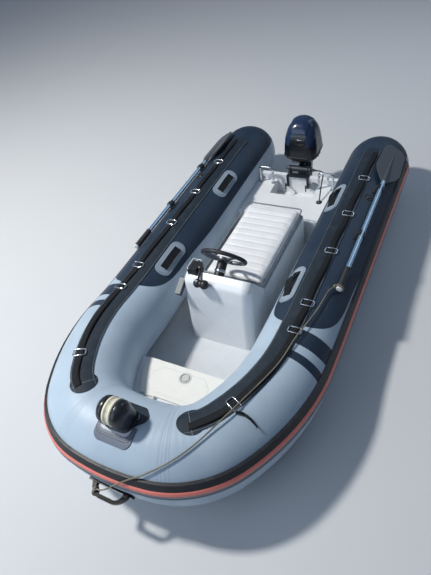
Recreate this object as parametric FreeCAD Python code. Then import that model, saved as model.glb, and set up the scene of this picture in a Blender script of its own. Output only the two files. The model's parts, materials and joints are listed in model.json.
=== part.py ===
import FreeCAD, Part
import os
from math import sin, cos, tan, asin, radians, degrees, pi, sqrt

V = FreeCAD.Vector
X, Y, Z, O = V(1, 0, 0), V(0, 1, 0), V(0, 0, 1), V(0, 0, 0)

# millimetres, +X to the bow, +Y to port, +Z up, z = 0 is the waterline, x = 0 amidships

# inflated collar
tube_radius = 235.0
tube_half_spacing = 563.5
tube_over_water = 5.0
tube_height = tube_radius + tube_over_water
tube_aft = -1360.0
rise_start = 371.0
rise_radius = 3148.0
rise_angle = 5.57
side_radius, side_angle = 1104.6, 30.0
corner_radius, corner_angle = 327.7, 51.59
nose_angle = 90.0 - side_angle - corner_angle
cone_shoulder_radius = 320.0
cone_shoulder_length = 190.0

# rubbing strake
strake_angle = 75.6
strake_aft = -1340.0
strake_height = 13.0
strake_above = 58.0
strake_below = 42.0
groove_half = 13.5
groove_depth = 8.0
insert_proud = 4.0

# grab bands, webbing and their rings
band_angle = -4.5
band_half = 62.0
band_thick = 3.5
band_aft = -1263.0
band_tip = 1450.0
paddle_radius = 72.0
webbing_angle = 2.5
webbing_half = 26.0
webbing_thick = 3.0
webbing_end_in = 55.0
ring_stations = (1161.0, 594.0, 366.0, -84.0, -458.0, -868.0)
ring_wire = 3.5
ring_angle = 3.0
ring_half_width = 36.0
ring_half_length = 22.0
ring_seat = 0.2
ring_corner = 14.0

# lifting handles
handle_stations = (-667.0, 208.0)
handle_angle = -35.0
handle_pad_length = 300.0
handle_pad_width = 112.0
handle_pad_thick = 5.0
handle_pad_corner = 50.0
strap_length = 200.0
strap_width = 50.0
strap_thick = 6.0
strap_lift = 22.0

# bow fittings
bow_patch_aft, bow_patch_ahead, bow_patch_half = 108.0, 14.0, 124.0
chafe_start, chafe_ahead, chafe_half = 16.0, 118.0, 106.0
bow_patch_thick = 5.0
bow_patch_corner, chafe_corner = 26.0, 38.0
roller_ahead = 8.0
housing_length, housing_width = 156.0, 168.0
roller_radius = 70.0
roller_width = 46.0
roller_groove, roller_groove_half = 4.5, 9.0
roller_rim = 4.0
roller_axle = 8.0
roller_clearance = 6.0
running_fit = 0.08
roller_floor_gap = 6.0
cheek_thick = 16.0
cheek_dome = 30.0
housing_base = 10.0
bow_handle_angle = 104.0
bow_handle_span = 210.0
bow_handle_width = 28.0
bow_handle_reach = 62.0
bow_handle_bar = 20.0
bow_handle_pad = 6.0
bow_handle_pad_width = 60.0
hitch_radius = 22.0
hitch_out = 37.0

# hull, floor and inside mouldings
transom_x = -1123.0
transom_thick = 38.0
transom_top = 270.0
floor_top = 10.0
floor_thick = 12.0
floor_inset = 92.0
keel_depth = 200.0
chine_half = 490.0
chine_height = -25.0
aft_deck_top = 220.0
aft_deck_front = -620.0
well_half = 175.0
well_floor = 110.0
well_front = -900.0
locker_aft = 850.0
locker_front = 1085.0
locker_top = 226.0
locker_wall = 8.0
locker_lid_thick = 14.0
locker_half = 250.0
lid_clearance = 30.0
lid_half = 262.0
latch_radius = 37.0
latch_wire = 2.5
console_front = 475.0
console_aft = 205.0
console_half = 232.0
console_top = 515.0
console_ridge = 340.0
console_shoulder = (402.0, 486.0)
console_waist = (424.0, 376.0)
console_round, console_waist_round, console_corner = 64.0, 300.0, 58.0
dash_angle = 53.0
side_bar = ((360.0, 458.0), (374.0, 466.0), (470.0, 416.0), (456.0, 384.0), (400.0, 408.0))
side_bar_thick = 24.0
seat_aft = -600.0
seat_front = 195.0
seat_half = 222.0
seat_box_top = 290.0
cushion_thick = 70.0
seat_gap = 5.0

# helm
wheel_tilt = 33.0
wheel_radius = 148.0
wheel_rim = 13.0
column_foot = (336.0, 488.0)
column_radius = 32.0
column_length = 104.0
wheel_hub_gap = 6.0
wheel_hub_length = 22.0
spoke_radius = 8.0

# throttle
throttle_at = (322.0, -160.0)
throttle_size = (92.0, 62.0, 78.0)
throttle_grip = (424.0, 503.0)
grip_radius, grip_length, grip_lobes = 21.0, 46.0, (27.0, 29.0)

# oars
oar_angle = 33.0
oar_lift = 29.0
oar_radial = tube_radius + oar_lift
oar_shaft_radius = 15.0
oar_shaft_aft = -880.0
oar_shaft_fore = 20.0
oar_grip_length = 180.0
oar_grip_radius = 19.0
oar_blade_length = 430.0
oar_blade_half = 98.0
oar_blade_thick = 7.0
clip_stations = (-300.0, -800.0)
clip_length = 44.0
clip_wall = 8.0

# outboard motor
# the tilt axis behind and above the transom, the steering axis behind that, the rest from the steering axis
tilt_behind, tilt_above = 23.0, 36.0
tilt_axis = (transom_x - tilt_behind, transom_top + tilt_above)
tilt_tube_radius = 12.0
tilt_tube_half = 118.0
tilt_boss_radius = 24.0
clamp_half = 92.0
clamp_plate = 16.0
clamp_hook = 14.0
clamp_top = 8.0
swivel_gap = 6.0
steer_behind = 59.0
steer_x = tilt_axis[0] - steer_behind
barrel_radius, barrel_low, barrel_top = 34.0, -30.0, 300.0
stem_radius = 18.0
yoke_radius, yoke_top_z, yoke_low_z = 24.0, 306.0, -75.0
cowl_behind = 70.0
cowl_x = steer_x - cowl_behind
cowl_length, cowl_width = 310.0, 266.0
cowl_bottom = 420.0
cowl_height = 260.0
cowl_wall = 6.0
engine_ahead, engine_back, engine_half, engine_height = 100.0, 75.0, 80.0, 150.0
# share of the cowl's height, length and width, set back of its front, front and rear corner radius
cowl_rows = ((0.0, 1.0, 1.0, 0.0, 70.0, 130.0), (0.25, 0.97, 0.99, 4.0, 70.0, 128.0), (0.5, 0.88, 0.94, 15.0, 70.0, 118.0),
             (0.72, 0.74, 0.84, 35.0, 66.0, 102.0), (0.88, 0.56, 0.68, 60.0, 60.0, 84.0), (1.0, 0.32, 0.42, 100.0, 40.0, 48.0))
pan_bottom = 342.0
# height, length, width, place from the cowl's middle, front and rear corner radius
pan_rows = ((pan_bottom, 232.0, 154.0, -20.0, 50.0, 60.0), (396.0, cowl_length - 16, cowl_width - 12, -2.0, 64.0, 120.0),
            (cowl_bottom, cowl_length, cowl_width, 0.0, 70.0, 130.0))
# height, place from the steering axis, length, width, corner radius
leg_rows = ((pan_bottom, -101.0, 104.0, 108.0, 36.0), (120.0, -98.0, 98.0, 76.0, 30.0), (-192.0, -95.0, 100.0, 52.0, 24.0))
strut_rows = ((-198.0, -95.0, 150.0, 50.0, 24.0), (-300.0, -80.0, 130.0, 40.0, 19.0))
skeg = ((0.0, -20.0), (-140.0, -20.0), (-180.0, -140.0), (-115.0, -150.0))
skeg_half = 5.0
plate_behind, plate_length, plate_width, plate_thick, plate_corner = 120.0, 300.0, 150.0, 6.0, 60.0
plate_z = -186.0
shaft_z = -300.0
gear_radius = 42.0
gear_nose, gear_tail = steer_x + 25.0, steer_x - 189.0
propeller_gap = 6.0
propeller_shaft_radius = 8.0
hub_radius, hub_length = 34.0, 64.0
# radius, fore and aft reach, half chord, half thickness
blade_rows = ((30.0, 20.0, 26.0, 3.0), (66.0, 15.0, 42.0, 2.2), (94.0, 8.0, 22.0, 1.2))


class Frame:
    def __init__(self, p, t, n, b):
        self.p, self.t, self.n, self.b = p, t, n, b

    def at(self, radius, angle):
        a = radians(angle)
        return self.p + self.n * (radius * sin(a)) + self.b * (radius * cos(a))

    def moved(self, d):
        return Frame(self.p + self.t * d, self.t, self.n, self.b)

    def turned(self, centre, axis, angle):
        r = FreeCAD.Rotation(axis, angle)
        return Frame(centre + r.multVec(self.p - centre), r.multVec(self.t), r.multVec(self.n), r.multVec(self.b))


# the port half of the tube's centreline: (kind, radius, angle in degrees)
bends = (
    ("rise", rise_radius, rise_angle),
    ("side", side_radius, side_angle),
    ("corner", corner_radius, corner_angle),
    ("nose", None, nose_angle),
)


def centreline():
    f = Frame(V(tube_aft, tube_half_spacing, tube_height), X, Y, Z)
    s = tube_aft
    runs = [(s, rise_start, f, None, None, 0.0)]
    f = f.moved(rise_start - tube_aft)
    s = rise_start
    for kind, radius, angle in bends:
        if kind == "nose":
            radius = f.p.y / cos(radians(90.0 - angle))
        centre = f.p + f.b * radius if kind == "rise" else f.p - f.n * radius
        axis = f.n * -1 if kind == "rise" else f.b * -1
        end = s + radians(angle) * radius
        runs.append((s, end, f, centre, axis, angle))
        f = f.turned(centre, axis, angle)
        s = end
    return runs


track = centreline()
track_end = track[-1][1]


def frame_at(s):
    for s0, s1, f, centre, axis, angle in track:
        if s <= s1 + 1e-6:
            break
    if centre is None:
        return f.moved(s - s0)
    return f.turned(centre, axis, angle * (s - s0) / (s1 - s0))


def fused(shapes):
    body = shapes[0]
    if len(shapes) > 1:
        body = body.fuse(list(shapes[1:]))
    return body.removeSplitter()


def swept_runs(face, start, stop):
    pieces = []
    for s0, s1, f, centre, axis, angle in track:
        a, b = max(start, s0), min(stop, s1)
        if b - a < 0.01:
            continue
        f = frame_at(a + 1e-7 * (b - a)) if a > s0 else f
        profile = face(f)
        if centre is None:
            pieces.append(profile.extrude(f.t * (b - a)))
        else:
            pieces.append(profile.revolve(centre, axis, angle * (b - a) / (s1 - s0)))
    return pieces


def swept(face, start, stop):
    return fused(swept_runs(face, start, stop))


def mirrored(shape):
    return shape.mirror(O, Y)


def both(shape):
    return Part.makeCompound([shape, mirrored(shape)])


def whole(shape):
    return shape.fuse(mirrored(shape))


def disc(radius):
    return lambda f: Part.Face(Part.Wire(Part.Circle(f.p, f.t, radius).toShape()))


def sector(r0, r1, a0, a1):
    def face(f):
        m = (a0 + a1) / 2
        return Part.Face(Part.Wire([
            Part.Arc(f.at(r1, a0), f.at(r1, m), f.at(r1, a1)).toShape(),
            Part.makeLine(f.at(r1, a1), f.at(r0, a1)),
            Part.Arc(f.at(r0, a1), f.at(r0, m), f.at(r0, a0)).toShape(),
            Part.makeLine(f.at(r0, a0), f.at(r1, a0)),
        ]))
    return face


def width_angle(width, radius=tube_radius):
    return degrees(width / radius)


def polygon(points):
    return Part.Face(Part.makePolygon(list(points) + [points[0]]))


def prism_xz(points, half):
    return polygon([V(x, -half, z) for x, z in points]).extrude(Y * (2 * half))


# face through the corners, each rounded by its own radius
def soft_face(corners, radii):
    ends = []
    for i, r in enumerate(radii):
        at = corners[i]
        u = (corners[i - 1] - at).normalize()
        w = (corners[(i + 1) % len(corners)] - at).normalize()
        half = u.getAngle(w) / 2
        reach = r / tan(half)
        ends.append((at + u * reach, at + (u + w).normalize() * (r / sin(half) - r), at + w * reach, r))
    edges = []
    for i, (start, middle, stop, r) in enumerate(ends):
        if r:
            edges.append(Part.Arc(start, middle, stop).toShape())
        edges.append(Part.makeLine(stop, ends[(i + 1) % len(ends)][0]))
    return Part.Face(Part.Wire(edges))


# closed wire, a rounded rectangle in plan, its rear corners rounder where rear is given
def rounded(cx, cy, z, lx, ly, r, rear=None):
    hx, hy = lx / 2, ly / 2
    k = 1 - sqrt(0.5)
    P = lambda x, y: V(cx + x, cy + y, z)
    spots = []
    for sx, sy in ((1, 1), (-1, 1), (-1, -1), (1, -1)):
        q = min(rear if rear and sx < 0 else r, hx - 0.5, hy - 0.5)
        along, over, across = P(sx * hx, sy * (hy - q)), P(sx * (hx - k * q), sy * (hy - k * q)), P(sx * (hx - q), sy * hy)
        spots.append((along, over, across) if sx == sy else (across, over, along))
    edges = []
    for i, (start, middle, stop) in enumerate(spots):
        edges.append(Part.Arc(start, middle, stop).toShape())
        edges.append(Part.makeLine(stop, spots[(i + 1) % 4][0]))
    return Part.Wire(edges)


def block(x0, x1, y0, y1, z0, z1):
    return Part.makeBox(x1 - x0, y1 - y0, z1 - z0, V(x0, y0, z0))


def revolved(profile, base, axis):
    return profile.revolve(base, axis, 360)


parts = {}

# ---------------------------------------------------------------- collar
tube_port = swept(disc(tube_radius), tube_aft, rise_start)
tube_nose = whole(swept(disc(tube_radius), rise_start, track_end))
tube_runs = swept_runs(disc(tube_radius), tube_aft, track_end)
tube_runs += [mirrored(r) for r in tube_runs]


def less_tubes(shape, runs=None):
    for run in runs or tube_runs:
        shape = shape.cut(run)
    return max(shape.Solids, key=lambda q: q.Volume)


parts["collar_port"] = tube_port
parts["collar_starboard"] = mirrored(tube_port)
parts["collar_bow"] = tube_nose

drop = cone_shoulder_radius - sqrt(cone_shoulder_radius ** 2 - cone_shoulder_length ** 2)
lean = asin(cone_shoulder_length / cone_shoulder_radius)
cap_radius = (tube_radius - drop) / cos(lean)
cap_centre = cone_shoulder_length - cap_radius * sin(lean)


def cone_point(back, r):
    return V(tube_aft - back, tube_half_spacing, tube_height + r)


half = cone_shoulder_length / 2
cone_outline = Part.Face(Part.Wire([
    Part.makeLine(cone_point(0, 0), cone_point(0, tube_radius)),
    Part.Arc(cone_point(0, tube_radius),
             cone_point(half, tube_radius - cone_shoulder_radius + sqrt(cone_shoulder_radius ** 2 - half ** 2)),
             cone_point(cone_shoulder_length, tube_radius - drop)).toShape(),
    Part.Arc(cone_point(cone_shoulder_length, tube_radius - drop),
             cone_point(cap_centre + cap_radius * cos(radians(28)), cap_radius * sin(radians(28))),
             cone_point(cap_centre + cap_radius, 0)).toShape(),
    Part.makeLine(cone_point(cap_centre + cap_radius, 0), cone_point(0, 0)),
]))
cone = revolved(cone_outline, cone_point(0, 0), X)
parts["end_cone_port"] = cone
parts["end_cone_starboard"] = mirrored(cone)

# ---------------------------------------------------------------- rubbing strake
up_a = strake_angle - width_angle(strake_above)
low_a = strake_angle + width_angle(strake_below)
g0 = strake_angle - width_angle(groove_half)
g1 = strake_angle + width_angle(groove_half)
proud = tube_radius + strake_height
bevel = width_angle(9.0)


def strake_face(f):
    p = f.at
    m = (up_a + low_a) / 2
    return Part.Face(Part.Wire([
        Part.Arc(p(tube_radius, up_a), p(tube_radius, m), p(tube_radius, low_a)).toShape(),
        Part.makeLine(p(tube_radius, low_a), p(proud, low_a - bevel)),
        Part.makeLine(p(proud, low_a - bevel), p(proud, g1)),
        Part.makeLine(p(proud, g1), p(proud - groove_depth, g1)),
        Part.makeLine(p(proud - groove_depth, g1), p(proud - groove_depth, g0)),
        Part.makeLine(p(proud - groove_depth, g0), p(proud, g0)),
        Part.makeLine(p(proud, g0), p(proud, up_a + bevel)),
        Part.makeLine(p(proud, up_a + bevel), p(tube_radius, up_a)),
    ]))


def insert_face(f):
    p = f.at
    return Part.Face(Part.Wire([
        Part.makeLine(p(proud - groove_depth, g0), p(proud - groove_depth, g1)),
        Part.makeLine(p(proud - groove_depth, g1), p(proud, g1)),
        Part.Arc(p(proud, g1), p(proud + insert_proud, strake_angle), p(proud, g0)).toShape(),
        Part.makeLine(p(proud, g0), p(proud - groove_depth, g0)),
    ]))


parts["rub_strake"] = whole(swept(strake_face, strake_aft, track_end))
parts["rub_strake_insert"] = whole(swept(insert_face, strake_aft, track_end))

# ---------------------------------------------------------------- grab bands, webbing, rings
band_outer = tube_radius + band_thick
band_turn = width_angle(band_half)
paddle_turn = width_angle(paddle_radius) + 1.0


def paddle(s):
    f = frame_at(s)
    c = f.at(tube_radius, band_angle)
    wide = swept(sector(tube_radius, band_outer, band_angle - paddle_turn, band_angle + paddle_turn),
                 s - paddle_radius - 20, s + paddle_radius + 20)
    return wide.common(Part.makeCylinder(paddle_radius, 400, c - Z * 200, Z))


band = fused([
    swept(sector(tube_radius, band_outer, band_angle - band_turn, band_angle + band_turn),
          band_aft + paddle_radius, band_tip - paddle_radius),
    paddle(band_aft + paddle_radius),
    paddle(band_tip - paddle_radius),
])
parts["grab_band_port"] = band
parts["grab_band_starboard"] = mirrored(band)

webbing_outer = band_outer + webbing_thick
webbing_turn = width_angle(webbing_half, band_outer)
webbing = swept(sector(band_outer, webbing_outer, webbing_angle - webbing_turn, webbing_angle + webbing_turn),
                band_aft + webbing_end_in, band_tip - webbing_end_in)
parts["grab_webbing_port"] = webbing
parts["grab_webbing_starboard"] = mirrored(webbing)


def rounded_on(place, l, w, r):
    d = r * (1 - sqrt(0.5))
    line = lambda a, b: Part.makeLine(place(*a), place(*b))
    arc = lambda a, m, b: Part.Arc(place(*a), place(*m), place(*b)).toShape()
    return Part.Face(Part.Wire([
        line((l - r, w), (r - l, w)), arc((r - l, w), (d - l, w - d), (-l, w - r)),
        line((-l, w - r), (-l, r - w)), arc((-l, r - w), (d - l, d - w), (r - l, -w)),
        line((r - l, -w), (l - r, -w)), arc((l - r, -w), (l - d, d - w), (l, r - w)),
        line((l, r - w), (l, w - r)), arc((l, w - r), (l - d, w - d), (l - r, w))]))


def grab_ring(s):
    f = frame_at(s)
    a = radians(ring_angle)
    radial = f.n * sin(a) + f.b * cos(a)
    across = f.n * cos(a) - f.b * sin(a)
    place = lambda u, v: f.p + f.t * u + across * v + radial * (tube_radius - 30)
    l, w = ring_half_length + ring_wire, ring_half_width + ring_wire
    plan = rounded_on(place, l, w, ring_corner).cut(rounded_on(place, l - 2 * ring_wire, w - 2 * ring_wire, ring_corner - 2 * ring_wire))
    lie = webbing_outer + ring_seat
    turn = width_angle(w) + 4
    shell = swept(sector(lie, lie + 2 * ring_wire, ring_angle - turn, ring_angle + turn), s - l - 5, s + l + 5)
    return shell.common(plan.extrude(radial * 80))


rings = [grab_ring(s) for s in ring_stations]
parts["grab_rings_port"] = Part.makeCompound(rings)
parts["grab_rings_starboard"] = Part.makeCompound([mirrored(r) for r in rings])

# ---------------------------------------------------------------- lifting handles


def handle(s):
    f = frame_at(s)
    a = radians(handle_angle)
    radial = f.n * sin(a) + f.b * cos(a)
    across = f.n * cos(a) - f.b * sin(a)
    turn = width_angle(handle_pad_width / 2) + 2
    outer = tube_radius + handle_pad_thick
    pad = swept(sector(tube_radius, outer, handle_angle - turn, handle_angle + turn),
                s - handle_pad_length / 2 - 5, s + handle_pad_length / 2 + 5)
    place = lambda u, v: f.p + f.t * u + across * v
    outline = rounded_on(place, handle_pad_length / 2, handle_pad_width / 2, handle_pad_corner)
    pad = pad.common(outline.extrude(radial * (outer + 40)))
    h, k = strap_length / 2, strap_length / 2 - 30
    Q = lambda u, r: f.p + f.t * u + radial * r - across * (strap_width / 2)
    base, t = outer - 4.0, strap_thick
    side = Part.Face(Part.Wire([
        Part.makeLine(Q(-h, base), Q(-k, base)),
        Part.makeLine(Q(-k, base), Q(-k, outer + 1)),
        Part.Arc(Q(-k, outer + 1), Q(0, outer + strap_lift), Q(k, outer + 1)).toShape(),
        Part.makeLine(Q(k, outer + 1), Q(k, base)),
        Part.makeLine(Q(k, base), Q(h, base)),
        Part.makeLine(Q(h, base), Q(h, outer + t - 1)),
        Part.makeLine(Q(h, outer + t - 1), Q(k, outer + t + 1)),
        Part.Arc(Q(k, outer + t + 1), Q(0, outer + strap_lift + t), Q(-k, outer + t + 1)).toShape(),
        Part.makeLine(Q(-k, outer + t + 1), Q(-h, outer + t - 1)),
        Part.makeLine(Q(-h, outer + t - 1), Q(-h, base)),
    ]))
    strap = side.extrude(across * strap_width)
    inner = Part.makeCylinder(outer, handle_pad_length, f.p - f.t * (handle_pad_length / 2), f.t)
    return pad, strap.cut(inner)


made = [handle(s) for s in handle_stations]
parts["handle_pads"] = Part.makeCompound([q for p, _ in made for q in (p, mirrored(p))])
parts["handle_straps"] = Part.makeCompound([q for _, g in made for q in (g, mirrored(g))])

# ---------------------------------------------------------------- bow fittings
nose = frame_at(track_end)
nose_x, nose_z = nose.p.x, nose.p.z
crown_z = nose_z + tube_radius


def nose_sheet(thick, a0, a1, half, trim=None):
    sheet = swept(sector(tube_radius, tube_radius + thick, a0, a1), track_end - half, track_end)
    return whole(sheet.common(trim) if trim else sheet)


def plan_prism(points, radii, z0, z1):
    return soft_face([V(x, y, z0) for x, y in points], radii).extrude(Z * (z1 - z0))


h = chafe_half
chafe_plan = [(nose_x + chafe_start, -h), (nose_x + chafe_ahead, -h), (nose_x + chafe_ahead, h), (nose_x + chafe_start, h)]
chafe_rounds = (0, chafe_corner, chafe_corner, 0)
parts["chafe_pad"] = nose_sheet(bow_patch_thick, -20, 62, h + 60, plan_prism(chafe_plan, chafe_rounds, 0, crown_z + 80))

a, b, h, cc = bow_patch_aft, bow_patch_ahead, bow_patch_half, 44.0
patch_plan = [(nose_x - a, -h + cc), (nose_x - a + cc, -h), (nose_x + b - cc, -h), (nose_x + b, -h + cc),
              (nose_x + b, h - cc), (nose_x + b - cc, h), (nose_x - a + cc, h), (nose_x - a, h - cc)]
parts["bow_patch"] = nose_sheet(bow_patch_thick, -40, 40, h + 60, plan_prism(patch_plan, [bow_patch_corner] * 8, crown_z - 120, crown_z + 80))

patch_top = tube_radius + bow_patch_thick
roller_x = nose_x + roller_ahead
base_top = crown_z + bow_patch_thick + housing_base
roller_z = base_top + roller_radius + roller_floor_gap
half_gap = roller_width / 2 + roller_clearance
cheek_radius = roller_radius * 0.86
under_runs = swept_runs(disc(patch_top), track_end - 320, track_end)
under_runs += [mirrored(r) for r in under_runs]
foot = Part.Face(rounded(roller_x, 0, base_top - 60, housing_length, housing_width, 44)).extrude(Z * 60)
cheek_pieces = []
for sign in (1, -1):
    y0 = sign * half_gap
    plate = Part.makeCylinder(cheek_radius, cheek_thick, V(roller_x, y0, roller_z), Y * sign)
    ball = (cheek_radius ** 2 + cheek_dome ** 2) / (2 * cheek_dome)
    dome = Part.makeSphere(ball, V(roller_x, y0 + sign * (cheek_thick + cheek_dome - ball), roller_z))
    dome = dome.common(block(roller_x - 200, roller_x + 200, *sorted((y0 + sign * cheek_thick, y0 + sign * 200)), roller_z - 200, roller_z + 200))
    lo, hi = sorted((y0, y0 + sign * (cheek_thick + 14)))
    wall = block(roller_x - cheek_radius, roller_x + cheek_radius, lo, hi, base_top - 10, roller_z)
    cheek_pieces += [plate, dome, wall]
axle = Part.makeCylinder(roller_axle, 2 * half_gap + 8, V(roller_x, -half_gap - 4, roller_z), Y)
parts["bow_roller_housing"] = less_tubes(fused([foot] + cheek_pieces + [axle]), under_runs)

w, g = roller_width / 2, roller_groove_half
R1, R2, R3 = roller_radius, roller_radius - roller_groove, roller_radius - roller_rim
P = lambda y, r: V(roller_x, y, roller_z + r)
roller_profile = Part.Face(Part.Wire([
    Part.makeLine(P(-w, roller_axle + running_fit), P(-w, R3)),
    Part.Arc(P(-w, R3), P(-(w + g) / 2, R1), P(-g, R3 + 1)).toShape(),
    Part.Arc(P(-g, R3 + 1), P(0, R2 - 1), P(g, R3 + 1)).toShape(),
    Part.Arc(P(g, R3 + 1), P((w + g) / 2, R1), P(w, R3)).toShape(),
    Part.makeLine(P(w, R3), P(w, roller_axle + running_fit)),
    Part.makeLine(P(w, roller_axle + running_fit), P(-w, roller_axle + running_fit)),
]))
parts["bow_roller"] = revolved(roller_profile, V(roller_x, 0, roller_z), Y)

ba = radians(bow_handle_angle)
b_rad = nose.n * sin(ba) + nose.b * cos(ba)
b_tan = nose.n * cos(ba) - nose.b * sin(ba)
r0 = tube_radius + bow_handle_pad
s, t, r = bow_handle_span / 2, bow_handle_bar, bow_handle_reach
Q = lambda y, d: nose.p + Y * y + b_rad * (r0 + d) - b_tan * (bow_handle_width / 2)
hand_bar = Part.Face(Part.Wire([
    Part.makeLine(Q(-s, -12), Q(-s, 4)),
    Part.Arc(Q(-s, 4), Q(-s * 0.72, r * 0.72), Q(-s * 0.36, r)).toShape(),
    Part.makeLine(Q(-s * 0.36, r), Q(s * 0.36, r)),
    Part.Arc(Q(s * 0.36, r), Q(s * 0.72, r * 0.72), Q(s, 4)).toShape(),
    Part.makeLine(Q(s, 4), Q(s, -12)),
    Part.makeLine(Q(s, -12), Q(s - 26, -12)),
    Part.makeLine(Q(s - 26, -12), Q(s - 26, 2)),
    Part.Arc(Q(s - 26, 2), Q(s * 0.58, r - t - 6), Q(s * 0.3, r - t)).toShape(),
    Part.makeLine(Q(s * 0.3, r - t), Q(-s * 0.3, r - t)),
    Part.Arc(Q(-s * 0.3, r - t), Q(-s * 0.58, r - t - 6), Q(-s + 26, 2)).toShape(),
    Part.makeLine(Q(-s + 26, 2), Q(-s + 26, -12)),
    Part.makeLine(Q(-s + 26, -12), Q(-s, -12)),
])).extrude(b_tan * bow_handle_width)
h, w = bow_handle_span / 2 + 24, bow_handle_pad_width / 2
K = lambda y, v: nose.p + Y * y + b_rad * (tube_radius - 16) - b_tan * v
backing = polygon([K(y, v) for y, v in ((-h, -w + 12), (-h + 12, -w), (h - 12, -w), (h, -w + 12), (h, w - 12), (h - 12, w), (-h + 12, w), (-h, w - 12))])
parts["bow_handle"] = less_tubes(fused([backing.extrude(b_rad * (16 + bow_handle_pad)), hand_bar]))

# ---------------------------------------------------------------- hull
# stations: x, keel z, chine half width, chine z, flange half width, flange z, lip top z, lip half width, inner half width, inner z
k, cz = -keel_depth, chine_height
flange = tube_half_spacing + 14.5
lip = tube_half_spacing - 39.5
inner = tube_half_spacing - floor_inset
under_floor = floor_top - floor_thick
stations = (
    (transom_x, k, chine_half, cz, flange, floor_top, 40, lip, inner, under_floor),
    (-300, k, chine_half, cz, flange, floor_top, 40, lip, inner, under_floor),
    (350, k + 14, chine_half, cz, flange, floor_top, 40, lip, inner, under_floor),
    (780, k + 50, chine_half - 6, cz + 23, flange - 10, 34, 62, lip - 6, inner - 16, under_floor),
    (1060, k + 125, 400, 20, 502, 62, 90, 455, 330, 14),
    (1240, k + 210, 290, 50, 412, 80, 106, 365, 200, 48),
    (1340, k + 260, 180, 72, 300, 92, 114, 250, 100, 78),
    (1392, k + 284, 50, 88, 120, 97, 112, 100, 30, 96),
)
wires = []
for x, kz, yc, zc, yf, zf, zl, yl, yi, zi in stations:
    pts = [(0, kz), (yc, zc), (yf, zf), (yf, zl), (yl, zl), (yi, zi)]
    pts += [(-y, z) for y, z in reversed(pts[1:])]
    wires.append(Part.makePolygon([V(x, y, z) for y, z in pts + pts[:1]]))
hull = Part.makeLoft(wires, True, True)
hull = less_tubes(hull)
parts["hull_shell"] = hull


# plan outline of the space between the tubes, inset from their centreline
def inside_outline(inset, aft, z):
    edges = []
    last = V(aft, tube_half_spacing - inset, z)
    for s0, s1, f, centre, axis, angle in track:
        a, b = max(aft, s0), s1
        if b - a < 1:
            continue
        spots = []
        for s in (a, (a + b) / 2, b):
            g = frame_at(min(s, track_end))
            q = g.p - g.n * inset
            spots.append(V(q.x, max(q.y, 0.0) if s < track_end - 1 else 0.0, z))
        if centre is None or axis.z > -0.5:
            edges.append(Part.makeLine(last, V(spots[2].x, spots[2].y, z)))
        else:
            edges.append(Part.Arc(last, spots[1], spots[2]).toShape())
        last = spots[2]
    port = list(edges)
    back = Part.makeLine(V(aft, -(tube_half_spacing - inset), z), V(aft, tube_half_spacing - inset, z))
    star = [e.mirror(O, Y) for e in port]
    return Part.Face(Part.Wire(Part.__sortEdges__(port + star + [back])))


floor = inside_outline(floor_inset + 4, transom_x + transom_thick, under_floor).extrude(Z * floor_thick)
floor = floor.cut(block(locker_aft, 1600, -600, 600, -50, 60)).cut(hull)
parts["floor_liner"] = max(floor.Solids, key=lambda q: q.Volume)

# ---------------------------------------------------------------- transom and aft deck
transom = block(transom_x, transom_x + transom_thick, -480, 480, under_floor, transom_top)
parts["transom_board"] = less_tubes(transom.cut(hull))
deck_aft_x = transom_x + transom_thick
aft_deck = block(deck_aft_x, aft_deck_front, -480, 480, floor_top, aft_deck_top)
aft_deck = aft_deck.cut(block(deck_aft_x - 1, well_front, -well_half, well_half, well_floor, aft_deck_top + 1))
aft_deck = less_tubes(aft_deck.cut(hull))
parts["aft_deck"] = aft_deck

# ---------------------------------------------------------------- bow locker
locker = less_tubes(block(locker_aft, locker_front + 70, -400, 400, under_floor, locker_top).cut(hull))
hollow_front = locker_front - 10
hollow = polygon([V(x, y, floor_top + 4) for x, y in (
    (locker_aft + locker_wall, -locker_half + 30), (locker_aft + locker_wall, locker_half - 30),
    (hollow_front - 60, locker_half - 80), (hollow_front, 130), (hollow_front, -130), (hollow_front - 60, -locker_half + 80))])
parts["bow_locker"] = locker.cut(hollow.extrude(Z * 400))
lid = inside_outline(tube_radius + lid_clearance, 0, locker_top).extrude(Z * locker_lid_thick)
lid = lid.common(block(locker_aft + 4, locker_front, -lid_half, lid_half, locker_top, locker_top + locker_lid_thick))
lid_hinge = (locker_front + 8.0, locker_top + locker_lid_thick)
parts["bow_locker_lid"] = lid
latch_at = V(locker_aft + 70, 20, locker_top + locker_lid_thick)
latch = Part.makeCylinder(latch_radius, 2.5, latch_at)
ringlet = Part.makeTorus(latch_radius - 11, latch_wire, latch_at + Z * 4)
parts["lid_latch"] = fused([latch, ringlet])
hinge_pieces = []
for y in (-120.0, 120.0):
    knuckle = Part.makeCylinder(5.0, 60, V(lid_hinge[0], y - 30, lid_hinge[1] + 5.5), Y)
    leaf = block(lid_hinge[0], lid_hinge[0] + 22, y - 30, y + 30, lid_hinge[1] - locker_lid_thick, lid_hinge[1] + 2)
    hinge_pieces.append(fused([knuckle, leaf]))
parts["lid_hinges"] = Part.makeCompound([less_tubes(h) for h in hinge_pieces])

# ---------------------------------------------------------------- console and seat
dx = tan(radians(90 - dash_angle))
dash_drop = console_top - seat_box_top - cushion_thick + 10
dash_low = (console_ridge - dash_drop * dx, console_top - dash_drop)
# corner x, z and how it is rounded
console_outline = (
    (console_front, floor_top, 0), (*console_waist, console_waist_round), (*console_shoulder, console_round),
    (console_ridge, console_top, 0), (*dash_low, 0), (console_aft, dash_low[1] - 12, 0), (console_aft, floor_top, 0))
console = soft_face([V(x, -console_half, z) for x, z, _ in console_outline], [r for *_, r in console_outline]).extrude(Y * (2 * console_half))
console = console.makeFillet(console_corner, [e for e in console.Edges if abs(abs(e.CenterOfMass.y) - console_half) < 1
                                              and e.CenterOfMass.x > console_ridge + 10 and e.CenterOfMass.z > floor_top + 20])
parts["console_shell"] = console

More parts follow.
